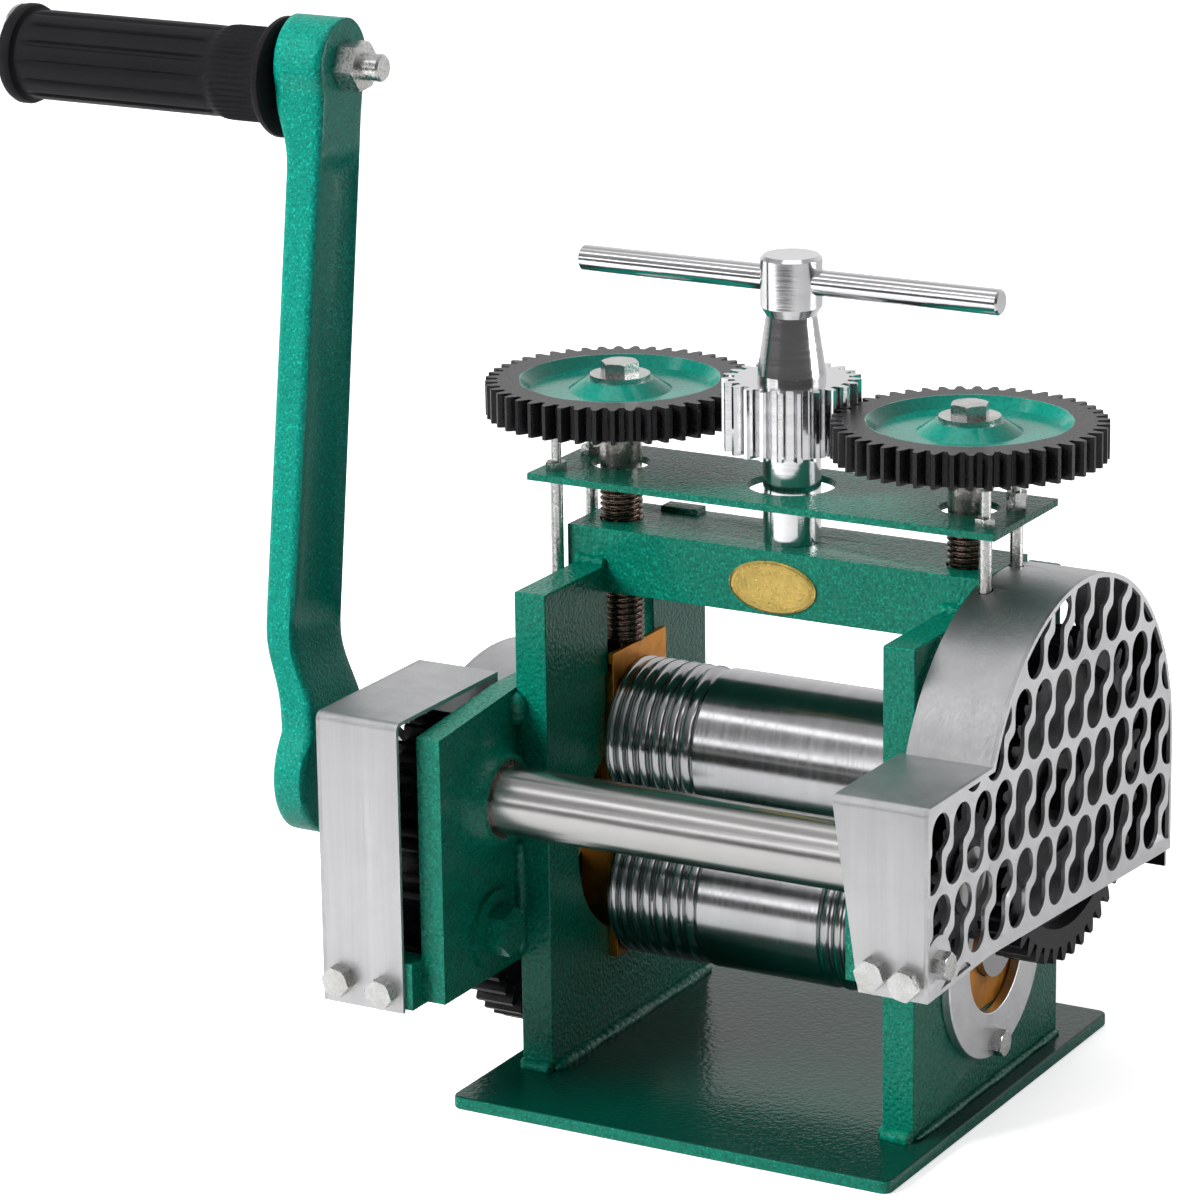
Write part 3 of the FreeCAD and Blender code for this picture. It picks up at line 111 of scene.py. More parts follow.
# ---- properties
class MillColours(bpy.types.PropertyGroup):
    """Colours of the mill's finishes."""

    frame_paint: bpy.props.FloatVectorProperty(
        name="Frame paint", description="Hammered green paint of the frame",
        subtype="COLOR", size=3, min=0, max=1, default=(0.0, 0.165, 0.108))
    crank_paint: bpy.props.FloatVectorProperty(
        name="Crank paint", description="Lighter green of the crank and the gear webs",
        subtype="COLOR", size=3, min=0, max=1, default=(0.0, 0.235, 0.175))
    gear_black: bpy.props.FloatVectorProperty(
        name="Gear black", description="Blackened cast iron of the gear rims",
        subtype="COLOR", size=3, min=0, max=1, default=(0.008, 0.008, 0.009))
    sheet_grey: bpy.props.FloatVectorProperty(
        name="Cover sheet", description="Brushed aluminium of the covers",
        subtype="COLOR", size=3, min=0, max=1, default=(0.60, 0.60, 0.61))
    brass: bpy.props.FloatVectorProperty(
        name="Bearing brass", description="Orange brass of the bearing blocks",
        subtype="COLOR", size=3, min=0, max=1, default=(0.52, 0.21, 0.025))
    rubber: bpy.props.FloatVectorProperty(
        name="Grip rubber", description="Black rubber of the grip",
        subtype="COLOR", size=3, min=0, max=1, default=(0.006, 0.006, 0.007))
    badge: bpy.props.FloatVectorProperty(
        name="Badge", description="Pressed golden oval on the crossbar",
        subtype="COLOR", size=3, min=0, max=1, default=(0.95, 0.68, 0.20))


class MillSizes(bpy.types.PropertyGroup):
    """Sizes of the details that are added to the frame."""

    edge_round: bpy.props.FloatProperty(
        name="Edge rounding", description="Radius on the painted plates' edges",
        unit="LENGTH", min=0, default=0.0007)
    sheet_round: bpy.props.FloatProperty(
        name="Sheet edge rounding", description="Radius on the sheet covers' edges",
        unit="LENGTH", min=0, default=0.0004)
    thread_pitch: bpy.props.FloatProperty(
        name="Thread pitch", description="Rise of the jack screws in one turn",
        unit="LENGTH", min=0.0001, default=0.00175)
    thread_depth: bpy.props.FloatProperty(
        name="Thread depth", description="Depth of the jack screws' thread",
        unit="LENGTH", min=0, default=0.0009)
    grip_bars: bpy.props.IntProperty(
        name="Grip bars", description="Raised bars around the grip", min=3, default=14)
    collar_ridges: bpy.props.IntProperty(
        name="Collar ridges", description="Fine ridges around the grip's collar", min=3, default=46)
    bead_radius: bpy.props.FloatProperty(
        name="Weld bead", description="Radius of the weld beads", unit="LENGTH", min=0, default=0.0019)
    bead_step: bpy.props.FloatProperty(
        name="Weld ripple", description="Distance between the ripples of a weld bead",
        unit="LENGTH", min=0.0001, default=0.0036)


# ---- meshes
def add_piece(name, vertices, faces, material, body, slot, replaces=()):
    """Makes one object from arrays, turns its faces outwards, and lets it ride on a body."""
    mesh = bpy.data.meshes.new(name)
    mesh.from_pydata(vertices, [], faces)
    work = bmesh.new()
    work.from_mesh(mesh)
    bmesh.ops.remove_doubles(work, verts=work.verts, dist=SAME_POINT)
    bmesh.ops.recalc_face_normals(work, faces=work.faces)
    work.to_mesh(mesh)
    work.free()
    mesh.shade_smooth()
    mesh.set_sharp_from_angle(angle=math.radians(38))
    piece = bpy.data.objects.new(name, mesh)
    bpy.context.scene.collection.objects.link(piece)
    mesh.materials.append(material)
    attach(piece, body)
    if replaces:
        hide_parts(*replaces)


def grid_faces(rows, columns, wrap_rows, wrap_columns, start=0):
    """Corner numbers of the quads of a grid of points, joined end to end where it wraps."""
    ids = np.arange(rows * columns).reshape(rows, columns) + start
    if wrap_rows:
        ids = np.vstack([ids, ids[:1]])
    if wrap_columns:
        ids = np.hstack([ids, ids[:, :1]])
    return np.stack([ids[:-1, :-1], ids[1:, :-1], ids[1:, 1:], ids[:-1, 1:]], -1).reshape(-1, 4)


def shells(grids):
    """Joins several grids into one list of points and one of faces. Each grid is given as its points, whether
    its rows wrap, and whether its columns wrap."""
    points, faces, start = [], [], 0
    for grid, wrap_rows, wrap_columns in grids:
        rows, columns = grid.shape[:2]
        points.append(grid.reshape(-1, 3))
        faces.append(grid_faces(rows, columns, wrap_rows, wrap_columns, start))
        start += rows * columns
    return np.concatenate(points), np.concatenate(faces)


def smoothstep(low, high, value):
    """0 below low, 1 above high, and an even S between them."""
    t = np.clip((value - low) / (high - low), 0, 1)
    return t * t * (3 - 2 * t)


def dressed_copy(name, width, material, angle=40):
    """A merged copy of a CAD node with rounded edges, which stands for the node."""
    source = frame["nodes"][name]
    mesh = source.data.copy()
    mesh.materials.clear()
    work = bmesh.new()
    work.from_mesh(mesh)
    bmesh.ops.remove_doubles(work, verts=work.verts, dist=CAD_POINT)
    bmesh.ops.dissolve_limit(
        work, angle_limit=math.radians(0.5), verts=work.verts, edges=work.edges, delimit=set())
    work.to_mesh(mesh)
    work.free()
    mesh.shade_smooth()
    mesh.set_sharp_from_angle(angle=math.radians(angle))
    mark_insides(mesh)
    piece = bpy.data.objects.new(name + "_rounded", mesh)
    bpy.context.scene.collection.objects.link(piece)
    mesh.materials.append(material)
    bevel = piece.modifiers.new("edges", "BEVEL")
    bevel.width = width
    bevel.segments = 2
    bevel.limit_method = "ANGLE"
    bevel.angle_limit = math.radians(angle)
    bevel.harden_normals = True
    bevel.use_clamp_overlap = True
    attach(piece, body_of(source)[0])
    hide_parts(name)


def mark_insides(mesh):
    """Gives each face the value 1 where, seen along X, it looks towards the middle of its mesh, else 0."""
    centres, normals = np.empty(len(mesh.polygons) * 3), np.empty(len(mesh.polygons) * 3)
    mesh.polygons.foreach_get("center", centres)
    mesh.polygons.foreach_get("normal", normals)
    centres, normals = centres.reshape(-1, 3), normals.reshape(-1, 3)
    corners = np.empty(len(mesh.vertices) * 3)
    mesh.vertices.foreach_get("co", corners)
    corners = corners.reshape(-1, 3)
    towards = (corners.min(0) + corners.max(0)) / 2 - centres
    inward = (towards[:, 1:] * normals[:, 1:]).sum(1) > 0.0001
    # the cover finish paints the faces marked here black as painted shade
    mark = mesh.attributes.new("inside", "FLOAT", "FACE")
    mark.data.foreach_set("value", inward.astype(np.float32))


# ---- shader groups
def new_group(name, inputs, outputs):
    """An empty shader group with its sockets, and its input and output nodes."""
    group = bpy.data.node_groups.new(name, "ShaderNodeTree")
    for label, kind, default in inputs:
        socket = group.interface.new_socket(label, in_out="INPUT", socket_type=kind)
        if default is not None:
            socket.default_value = default
    for label, kind in outputs:
        group.interface.new_socket(label, in_out="OUTPUT", socket_type=kind)
    start = group.nodes.new("NodeGroupInput")
    end = group.nodes.new("NodeGroupOutput")
    return group, start, end


def node(tree, kind, links=None, **values):
    """One shader node. values set its properties or sockets, links join its sockets to outputs."""
    made = tree.nodes.new(kind)
    for key, value in values.items():
        if hasattr(made, key):
            setattr(made, key, value)
        else:
            made.inputs[key.replace("_", " ")].default_value = value
    for key, output in (links or {}).items():
        tree.links.new(output, made.inputs[key])
    return made


def ramp(tree, factor, *stops):
    """A colour ramp with (place, grey or colour) stops."""
    made = tree.nodes.new("ShaderNodeValToRGB")
    elements = made.color_ramp.elements
    while len(elements) < len(stops):
        elements.new(0.5)
    for element, (place, colour) in zip(elements, stops):
        element.position = place
        rgb = colour if hasattr(colour, "__len__") else (colour,) * 3
        element.color = (*rgb, 1)
    tree.links.new(factor, made.inputs["Fac"])
    return made.outputs["Color"]


def blend(tree, factor, low, high):
    """Mixes two colours or colour outputs by a factor output or number."""
    made = tree.nodes.new("ShaderNodeMix")
    made.data_type = "RGBA"
    for socket, value in ((made.inputs[0], factor), (made.inputs[6], low), (made.inputs[7], high)):
        if isinstance(value, bpy.types.NodeSocket):
            tree.links.new(value, socket)
        elif hasattr(value, "__len__"):
            socket.default_value = (*value[:3], 1)
        else:
            socket.default_value = value
    return made.outputs[2]


def maths(tree, operation, first, second=None, clamp=False):
    """One Math node on two outputs or numbers."""
    made = tree.nodes.new("ShaderNodeMath")
    made.operation = operation
    made.use_clamp = clamp
    for socket, value in zip(made.inputs, (first, second)):
        if isinstance(value, bpy.types.NodeSocket):
            tree.links.new(value, socket)
        elif value is not None:
            socket.default_value = value
    return made.outputs[0]


def build_speckle_group():
    """Two noises at different scales: a mask of small spots and one of soft patches."""
    group, start, end = new_group(
        "speckle",
        [("Vector", "NodeSocketVector", None), ("Fine Scale", "NodeSocketFloat", 900.0),
         ("Broad Scale", "NodeSocketFloat", 60.0)],
        [("Spots", "NodeSocketFloat"), ("Patches", "NodeSocketFloat")])
    vector, fine_scale, broad_scale = start.outputs[:3]
    fine = node(group, "ShaderNodeTexNoise", {"Vector": vector, "Scale": fine_scale}, Detail=4.0)
    broad = node(group, "ShaderNodeTexNoise", {"Vector": vector, "Scale": broad_scale}, Detail=3.0)
    group.links.new(fine.outputs[0], end.inputs[0])
    group.links.new(broad.outputs[0], end.inputs[1])
    return group


def build_hammer_group():
    """Round dimples of hammered paint: the distance to scattered points, bent a little by noise."""
    group, start, end = new_group(
        "hammer_dimples",
        [("Vector", "NodeSocketVector", None), ("Scale", "NodeSocketFloat", 520.0),
         ("Waver", "NodeSocketFloat", 0.0012)],
        [("Height", "NodeSocketFloat"), ("Hollows", "NodeSocketFloat")])
    noise = node(group, "ShaderNodeTexNoise", {"Vector": start.outputs[0]}, Scale=350.0, Detail=2.0)
    shift = node(group, "ShaderNodeVectorMath", {0: noise.outputs["Color"], "Scale": start.outputs[2]},
                 operation="SCALE")
    place = node(group, "ShaderNodeVectorMath", {0: start.outputs[0], 1: shift.outputs[0]}, operation="ADD")
    cells = node(group, "ShaderNodeTexVoronoi", {"Vector": place.outputs[0], "Scale": start.outputs[1]},
                 feature="SMOOTH_F1")
    height = ramp(group, cells.outputs["Distance"], (0.05, 0.0), (0.62, 1.0))
    hollow = ramp(group, cells.outputs["Distance"], (0.10, 1.0), (0.50, 0.0))
    group.links.new(height, end.inputs[0])
    group.links.new(hollow, end.inputs[1])
    return group


def build_brush_group():
    """Brushing lines: noise on coordinates squeezed along one direction, coarse and fine together."""
    group, start, end = new_group(
        "brush_lines",
        [("Vector", "NodeSocketVector", None), ("Squeeze", "NodeSocketVector", (1.0, 1.0, 0.02)),
         ("Scale", "NodeSocketFloat", 1400.0)],
        [("Lines", "NodeSocketFloat"), ("Bands", "NodeSocketFloat")])
    vector, squeeze, scale = start.outputs[:3]
    place = node(group, "ShaderNodeVectorMath", {0: vector, 1: squeeze}, operation="MULTIPLY")
    fine = node(group, "ShaderNodeTexNoise", {"Vector": place.outputs[0], "Scale": scale}, Detail=3.0)
    wide = maths(group, "MULTIPLY", scale, 0.12)
    broad = node(group, "ShaderNodeTexNoise", {"Vector": place.outputs[0], "Scale": wide}, Detail=2.0)
    group.links.new(fine.outputs[0], end.inputs[0])
    group.links.new(broad.outputs[0], end.inputs[1])
    return group


def place_group(tree, group, vector, **values):
    """Places a group in a material with its own values."""
    made = tree.nodes.new("ShaderNodeGroup")
    made.node_tree = group
    tree.links.new(vector, made.inputs["Vector"])
    for key, value in values.items():
        made.inputs[key.replace("_", " ")].default_value = value
    return made


def new_material(name, **shader):
    """A node material with a Principled shader. Returns it, its tree, its shader and object coordinates."""
    material = bpy.data.materials.new(name)
    material.use_nodes = True
    tree = material.node_tree
    surface = tree.nodes["Principled BSDF"]
    for key, value in shader.items():
        surface.inputs[key.replace("_", " ")].default_value = value
    coordinates = tree.nodes.new("ShaderNodeTexCoord").outputs["Object"]
    return material, tree, surface, coordinates


def bump(tree, surface, height, strength, distance):
    """Feeds a height to the shader's normal."""
    made = node(tree, "ShaderNodeBump", {"Height": height}, Strength=strength, Distance=distance)
    tree.links.new(made.outputs[0], surface.inputs["Normal"])


# ---- materials
def paint_material(name, groups, green, gloss, cell_scale, depth, painted_shade_above=None):
    """Hammered green paint: hollows darkened as painted shade, fine bright specks as painted glints, a glossy
    skin, and broad uneven patches.
    Above the height given as the last argument, the top face is painted darker: painted shade from the parts
    above it."""
    material, tree, surface, where = new_material(
        name, Metallic=0.0, Coat_Roughness=0.12, Coat_Weight=0.12, Specular_IOR_Level=0.20)
    cells = place_group(tree, groups["hammer"], where, Scale=cell_scale)
    specks = place_group(tree, groups["speckle"], where, Fine_Scale=1500.0, Broad_Scale=38.0)
    # painted shade: the bottoms of the hammered dimples are darkened in the base colour
    base = blend(tree, cells.outputs["Hollows"], green, [c * 0.62 for c in green])
    patch = ramp(tree, specks.outputs["Patches"], (0.35, 0.0), (0.7, 0.4))
    base = blend(tree, patch, base, [c * 0.7 for c in green])
    # painted glints: fine spots are lightened in the base colour
    painted_glints = ramp(tree, specks.outputs["Spots"], (0.56, 0.0), (0.66, 0.75))
    base = blend(tree, painted_glints, base, [0.006 + c * 2.0 for c in green])
    if painted_shade_above is not None:
        # painted shade: above the given height the plate's top face is darkened
        height = node(tree, "ShaderNodeSeparateXYZ", {"Vector": where}).outputs["Z"]
        base = blend(tree, maths(tree, "GREATER_THAN", height, painted_shade_above), base,
                     blend(tree, patch, [c * 0.30 for c in green], [c * 0.20 for c in green]))
    tree.links.new(base, surface.inputs["Base Color"])
    rough = ramp(tree, specks.outputs["Spots"], (0.3, gloss), (0.75, gloss + 0.16))
    tree.links.new(rough, surface.inputs["Roughness"])
    bump(tree, surface, cells.outputs["Height"], 0.5, depth)
    return material


def black_colour(tree, groups, colours, where):
    """Blackened iron with faint grey rubs, and the roughness and height that go with it."""
    specks = place_group(tree, groups["speckle"], where, Fine_Scale=1500.0, Broad_Scale=140.0)
    rubs = ramp(tree, specks.outputs["Spots"], (0.52, 0.0), (0.75, 0.3))
    black = blend(tree, rubs, colours.gear_black, [c * 5 + 0.01 for c in colours.gear_black])
    rough = ramp(tree, specks.outputs["Spots"], (0.3, 0.24), (0.75, 0.46))
    return black, rough, specks


def black_gear_material(groups, colours):
    """The drive gears and pinions, black all over."""
    material, tree, surface, where = new_material("drive_gear_finish", Specular_IOR_Level=0.22)
    black, rough, specks = black_colour(tree, groups, colours, where)
    tree.links.new(black, surface.inputs["Base Color"])
    tree.links.new(rough, surface.inputs["Roughness"])
    bump(tree, surface, specks.outputs["Spots"], 0.15, 0.0002)
    return material


def gear_material(name, groups, colours, centre, web_radius):
    """Black adjusting gear with a green web: the green lies inside a radius round the gear's own axis."""
    material, tree, surface, where = new_material(name, Specular_IOR_Level=0.35)
    offset = node(tree, "ShaderNodeVectorMath", {0: where}, operation="SUBTRACT")
    offset.inputs[1].default_value = centre
    flat = node(tree, "ShaderNodeVectorMath", {0: offset.outputs[0]}, operation="MULTIPLY")
    flat.inputs[1].default_value = (1, 1, 0)
    away = node(tree, "ShaderNodeVectorMath", {0: flat.outputs[0]}, operation="LENGTH").outputs["Value"]
    black, rough, specks = black_colour(tree, groups, colours, where)
    waver = maths(tree, "MULTIPLY", specks.outputs["Patches"], 0.0016)
    inside = maths(tree, "LESS_THAN", maths(tree, "ADD", away, waver), web_radius + 0.0008)
    cells = place_group(tree, groups["hammer"], where, Scale=900.0)
    deep = [c * 0.7 for c in colours.crank_paint]
    # painted shade: the bottoms of the web's hammered dimples are darkened
    green = blend(tree, cells.outputs["Hollows"], colours.crank_paint, deep)
    tree.links.new(blend(tree, inside, black, green), surface.inputs["Base Color"])
    tree.links.new(blend(tree, inside, rough, (0.11, 0.11, 0.11)), surface.inputs["Roughness"])
    bump(tree, surface, specks.outputs["Spots"], 0.15, 0.0002)
    return material


def steel_material(name, groups, colour, low, high, squeeze, scale, strength, dirt=0.0,
                   dirt_colour=(0.1, 0.08, 0.06), painted_inner_shade=False):
    """Bare metal with machining lines in its roughness, from low to high, and in its height. Dirt lies in
    patches. Where the last argument is set, the faces marked as a sheet's inside are painted black as shade."""
    material, tree, surface, where = new_material(name, Metallic=1.0)
    lines = place_group(tree, groups["brush"], where, Squeeze=squeeze, Scale=scale)
    specks = place_group(tree, groups["speckle"], where, Fine_Scale=700.0, Broad_Scale=90.0)
    shade = ramp(tree, lines.outputs["Bands"], (0.3, [c * 0.88 for c in colour]), (0.7, colour))
    mask = ramp(tree, specks.outputs["Patches"], (0.48, 0.0), (0.75, dirt))
    shade = blend(tree, mask, shade, dirt_colour)
    if painted_inner_shade:
        # painted shade: the sheet's inner faces are darkened to near black
        inside = node(tree, "ShaderNodeAttribute", attribute_name="inside").outputs["Fac"]
        shade = blend(tree, inside, shade, blend(tree, mask, (0.012, 0.012, 0.012), (0.03, 0.03, 0.03)))
    tree.links.new(shade, surface.inputs["Base Color"])
    rough = ramp(tree, lines.outputs["Lines"], (0.3, low), (0.7, high))
    tree.links.new(rough, surface.inputs["Roughness"])
    bump(tree, surface, lines.outputs["Lines"], strength, 0.0002)
    return material


def screw_material(groups, top):
    """Jack screws: brown oily steel on the thread, fading into bare turned steel above it."""
    material, tree, surface, where = new_material("oily_screw", Metallic=1.0)
    specks = place_group(tree, groups["speckle"], where, Fine_Scale=900.0, Broad_Scale=160.0)
    height = node(tree, "ShaderNodeSeparateXYZ", {"Vector": where}).outputs["Z"]
    waver = maths(tree, "MULTIPLY", specks.outputs["Patches"], 0.006)
    above = maths(tree, "SUBTRACT", maths(tree, "ADD", height, waver), top)
    level = maths(tree, "MULTIPLY", above, 300.0, True)
    brown = blend(tree, specks.outputs["Patches"], (0.10, 0.065, 0.05), (0.20, 0.15, 0.125))
    bare = blend(tree, specks.outputs["Spots"], (0.50, 0.48, 0.46), (0.30, 0.27, 0.25))
    tree.links.new(blend(tree, level, brown, bare), surface.inputs["Base Color"])
    rough = ramp(tree, specks.outputs["Spots"], (0.3, 0.20), (0.7, 0.40))
    tree.links.new(rough, surface.inputs["Roughness"])
    bump(tree, surface, specks.outputs["Spots"], 0.2, 0.0002)
    return material


def rubber_material(groups, colours):
    """Matt black rubber with a fine grain and greyish dust in patches."""
    material, tree, surface, where = new_material("grip_rubber", Specular_IOR_Level=0.08)
    specks = place_group(tree, groups["speckle"], where, Fine_Scale=1600.0, Broad_Scale=45.0)
    base = blend(tree, specks.outputs["Patches"], colours.rubber, [c * 1.7 + 0.003 for c in colours.rubber])
    tree.links.new(base, surface.inputs["Base Color"])
    rough = ramp(tree, specks.outputs["Patches"], (0.3, 0.40), (0.7, 0.55))
    tree.links.new(rough, surface.inputs["Roughness"])
    bump(tree, surface, specks.outputs["Spots"], 0.25, 0.0002)
    return material


def badge_material(groups, colours):
    """Pressed golden foil with a pebbled field."""
    material, tree, surface, where = new_material("badge_foil", Metallic=1.0)
    specks = place_group(tree, groups["speckle"], where, Fine_Scale=900.0, Broad_Scale=200.0)
    base = blend(tree, specks.outputs["Patches"], colours.badge, [c * 0.55 for c in colours.badge])
    tree.links.new(base, surface.inputs["Base Color"])
    rough = ramp(tree, specks.outputs["Spots"], (0.3, 0.24), (0.7, 0.44))
    tree.links.new(rough, surface.inputs["Roughness"])
    bump(tree, surface, specks.outputs["Spots"], 0.6, 0.0005)
    return material


def floor_material():
    """Pale studio floor with an almost unseen mottle. It is brighter to the camera, and dimmer to the light
    that matt surfaces gather, than to reflections."""
    material, tree, surface, where = new_material("studio_floor", Roughness=0.55, Specular_IOR_Level=0.3)
    noise = node(tree, "ShaderNodeTexNoise", {"Vector": where}, Scale=3.0)
    base = blend(tree, noise.outputs[0], (0.92, 0.92, 0.92), (0.95, 0.95, 0.95))
    path = tree.nodes.new("ShaderNodeLightPath")
    matt = maths(tree, "MULTIPLY", path.outputs["Is Diffuse Ray"], 0.4)
    tree.links.new(blend(tree, matt, base, (0.1, 0.1, 0.1)), surface.inputs["Base Color"])
    glow = blend(tree, path.outputs["Is Camera Ray"], (0, 0, 0), base)
    tree.links.new(glow, surface.inputs["Emission Color"])
    surface.inputs["Emission Strength"].default_value = 0.7
    return material


def build_materials(colours):
    """Every material of the mill by name."""
    groups = {"speckle": build_speckle_group(), "hammer": build_hammer_group(), "brush": build_brush_group()}
    even, along_x, round_x, upright = (1, 1, 1), (0.02, 1.0, 1.0), (1.0, 0.03, 0.03), (1.0, 1.0, 0.02)
    plate_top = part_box("base_plate")[1][2] - 0.3 * MM
    made = {
        "paint": paint_material("frame_paint", groups, colours.frame_paint, 0.24, 880.0, 0.0004),
        "crank_paint": paint_material("crank_paint", groups, colours.crank_paint, 0.40, 1100.0, 0.0003),
        # the base plate's top face, above plate_top, is painted darker as shade
        "base_paint": paint_material(
            "base_paint", groups, colours.frame_paint, 0.12, 700.0, 0.00012, plate_top),
        "polished": steel_material(
            "polished_roll", groups, (0.46, 0.46, 0.47), 0.14, 0.22, round_x, 1500.0, 0.02),
        "polished_up": steel_material(
            "polished_handle", groups, (0.74, 0.74, 0.75), 0.09, 0.18, (0.05, 0.05, 1.0), 1500.0, 0.06),
        "satin": steel_material(
            "satin_shaft", groups, (0.48, 0.475, 0.47), 0.20, 0.27, along_x, 1500.0, 0.015,
            0.12, (0.33, 0.31, 0.30)),
        # the cover's inner faces are painted near black as shade
        "cover": steel_material(
            "brushed_cover", groups, colours.sheet_grey, 0.36, 0.52, upright, 1300.0, 0.22,
            0.12, (0.33, 0.33, 0.33), True),
        "side": steel_material(
            "pierced_side", groups, (0.54, 0.54, 0.55), 0.34, 0.54, even, 700.0, 0.25, 0.2, (0.3, 0.3, 0.3)),
        "ring": steel_material(
            "ring_face", groups, (0.64, 0.64, 0.65), 0.28, 0.44, even, 900.0, 0.15, 0.3, (0.22, 0.22, 0.22)),
        "brass": steel_material(
            "bearing_brass", groups, colours.brass, 0.30, 0.46, (1, 1, 0.2), 600.0, 0.25,
            0.9, (0.20, 0.075, 0.012)),
        "screw": screw_material(groups, BARE_ABOVE),
        "zinc": steel_material(
            "zinc_fastener", groups, (0.62, 0.62, 0.61), 0.20, 0.38, even, 1100.0, 0.3,
            0.5, (0.24, 0.21, 0.18)),
        "rubber": rubber_material(groups, colours),
        "badge": badge_material(groups, colours),
        "floor": floor_material(),
    }
    for side, label in ((-1, "left"), (1, "right")):
        made[label + "_jack"] = gear_material(
            label + "_jack_gear_finish", groups, colours, (side * JACK_X * MM, 0, 0), WEB_RADIUS * MM)
    made["drive"] = black_gear_material(groups, colours)
    return made


NODE_FINISH = {
    "idler_fasteners": "paint", "idler_axle": "satin", "idler_gear": "drive",
    "left_shaft_bush": "screw", "right_shaft_bush": "screw",
    "plate_studs": "zinc", "plate_nuts": "zinc", "left_cover_bolts": "zinc", "right_cover_bolts": "zinc",
    "ring_screws": "zinc", "upper_roller": "polished", "lower_roller": "polished",
    "upper_roller_gear": "drive", "lower_roller_gear": "drive",
    "upper_roller_bolt": "drive", "lower_roller_bolt": "drive",
    "front_shaft": "satin", "left_pinion": "drive", "right_pinion": "drive",
    "shaft_collars": "satin", "shaft_clips": "drive", "crank_bolt": "zinc",
    "grip_spindle": "zinc", "grip_nut": "zinc",
    "left_jack_gear": "left_jack", "right_jack_gear": "right_jack",
    "left_gear_bolt": "zinc", "right_gear_bolt": "zinc",
    "centre_pinion": "polished_up", "tee_shaft": "polished_up", "tee_bar": "polished_up",
}
ROUNDED = {
    "base_plate": "base_paint", "left_upright": "paint", "right_upright": "paint", "crossbar": "paint",
    "top_plate": "paint", "left_bracket": "paint", "right_bracket": "paint",
    "left_cover_lug": "paint", "right_cover_lug": "paint",
}
SHEETS = {
    "left_cover": "cover", "right_cover": "cover", "left_cover_mesh": "side", "right_cover_mesh": "side",
    "left_retainer_ring": "ring", "right_retainer_ring": "ring",
    "left_lower_bearing": "brass", "right_lower_bearing": "brass",
    "left_upper_bearing": "brass", "right_upper_bearing": "brass",
}
finishes = {}


# ---- operators
class MILL_OT_materials(bpy.types.Operator):
    """Builds the finishes and gives them to the nodes that keep their own shape"""

    bl_idname = "mill.materials"
    bl_label = "Finishes"

    def execute(self, context):
        finishes.update(build_materials(context.scene.mill_colours))
        for name, finish in NODE_FINISH.items():
            for place in frame["nodes"][name].material_slots:
                place.material = finishes[finish]
        return {"FINISHED"}


class MILL_OT_plates(bpy.types.Operator):
    """Rounds the edges of the painted plates, sheets, rings and bearing blocks"""

    bl_idname = "mill.plates"
    bl_label = "Plates and sheets"

    def execute(self, context):
        sizes = context.scene.mill_sizes
        for name, finish in ROUNDED.items():
            dressed_copy(name, sizes.edge_round, finishes[finish])
        for name, finish in SHEETS.items():
            dressed_copy(name, sizes.sheet_round, finishes[finish], angle=50)
        return {"FINISHED"}


class MILL_OT_crank(bpy.types.Operator):
    """Casts the crank arm as one swept surface"""

    bl_idname = "mill.crank"
    bl_label = "Crank arm"

    def execute(self, context):
        points = crank_surface()
        add_piece("crank_casting", *shells([(points, False, True)]), finishes["crank_paint"],
                  "crank", "green_paint", ("crank_arm",))
        return {"FINISHED"}


def eased(places, blur, knots, values):
    """A broken line through knots, rounded by a bell-weighted average of width blur, read at places."""
    fine = np.linspace(knots[0], knots[-1], 1200)
    line = np.interp(fine, knots, values)
    spread = np.exp(-0.5 * ((np.arange(-80, 81) * (fine[1] - fine[0])) / blur) ** 2)
    return np.interp(places, fine, np.convolve(np.pad(line, 80, mode="edge"), spread / spread.sum(), "valid"))


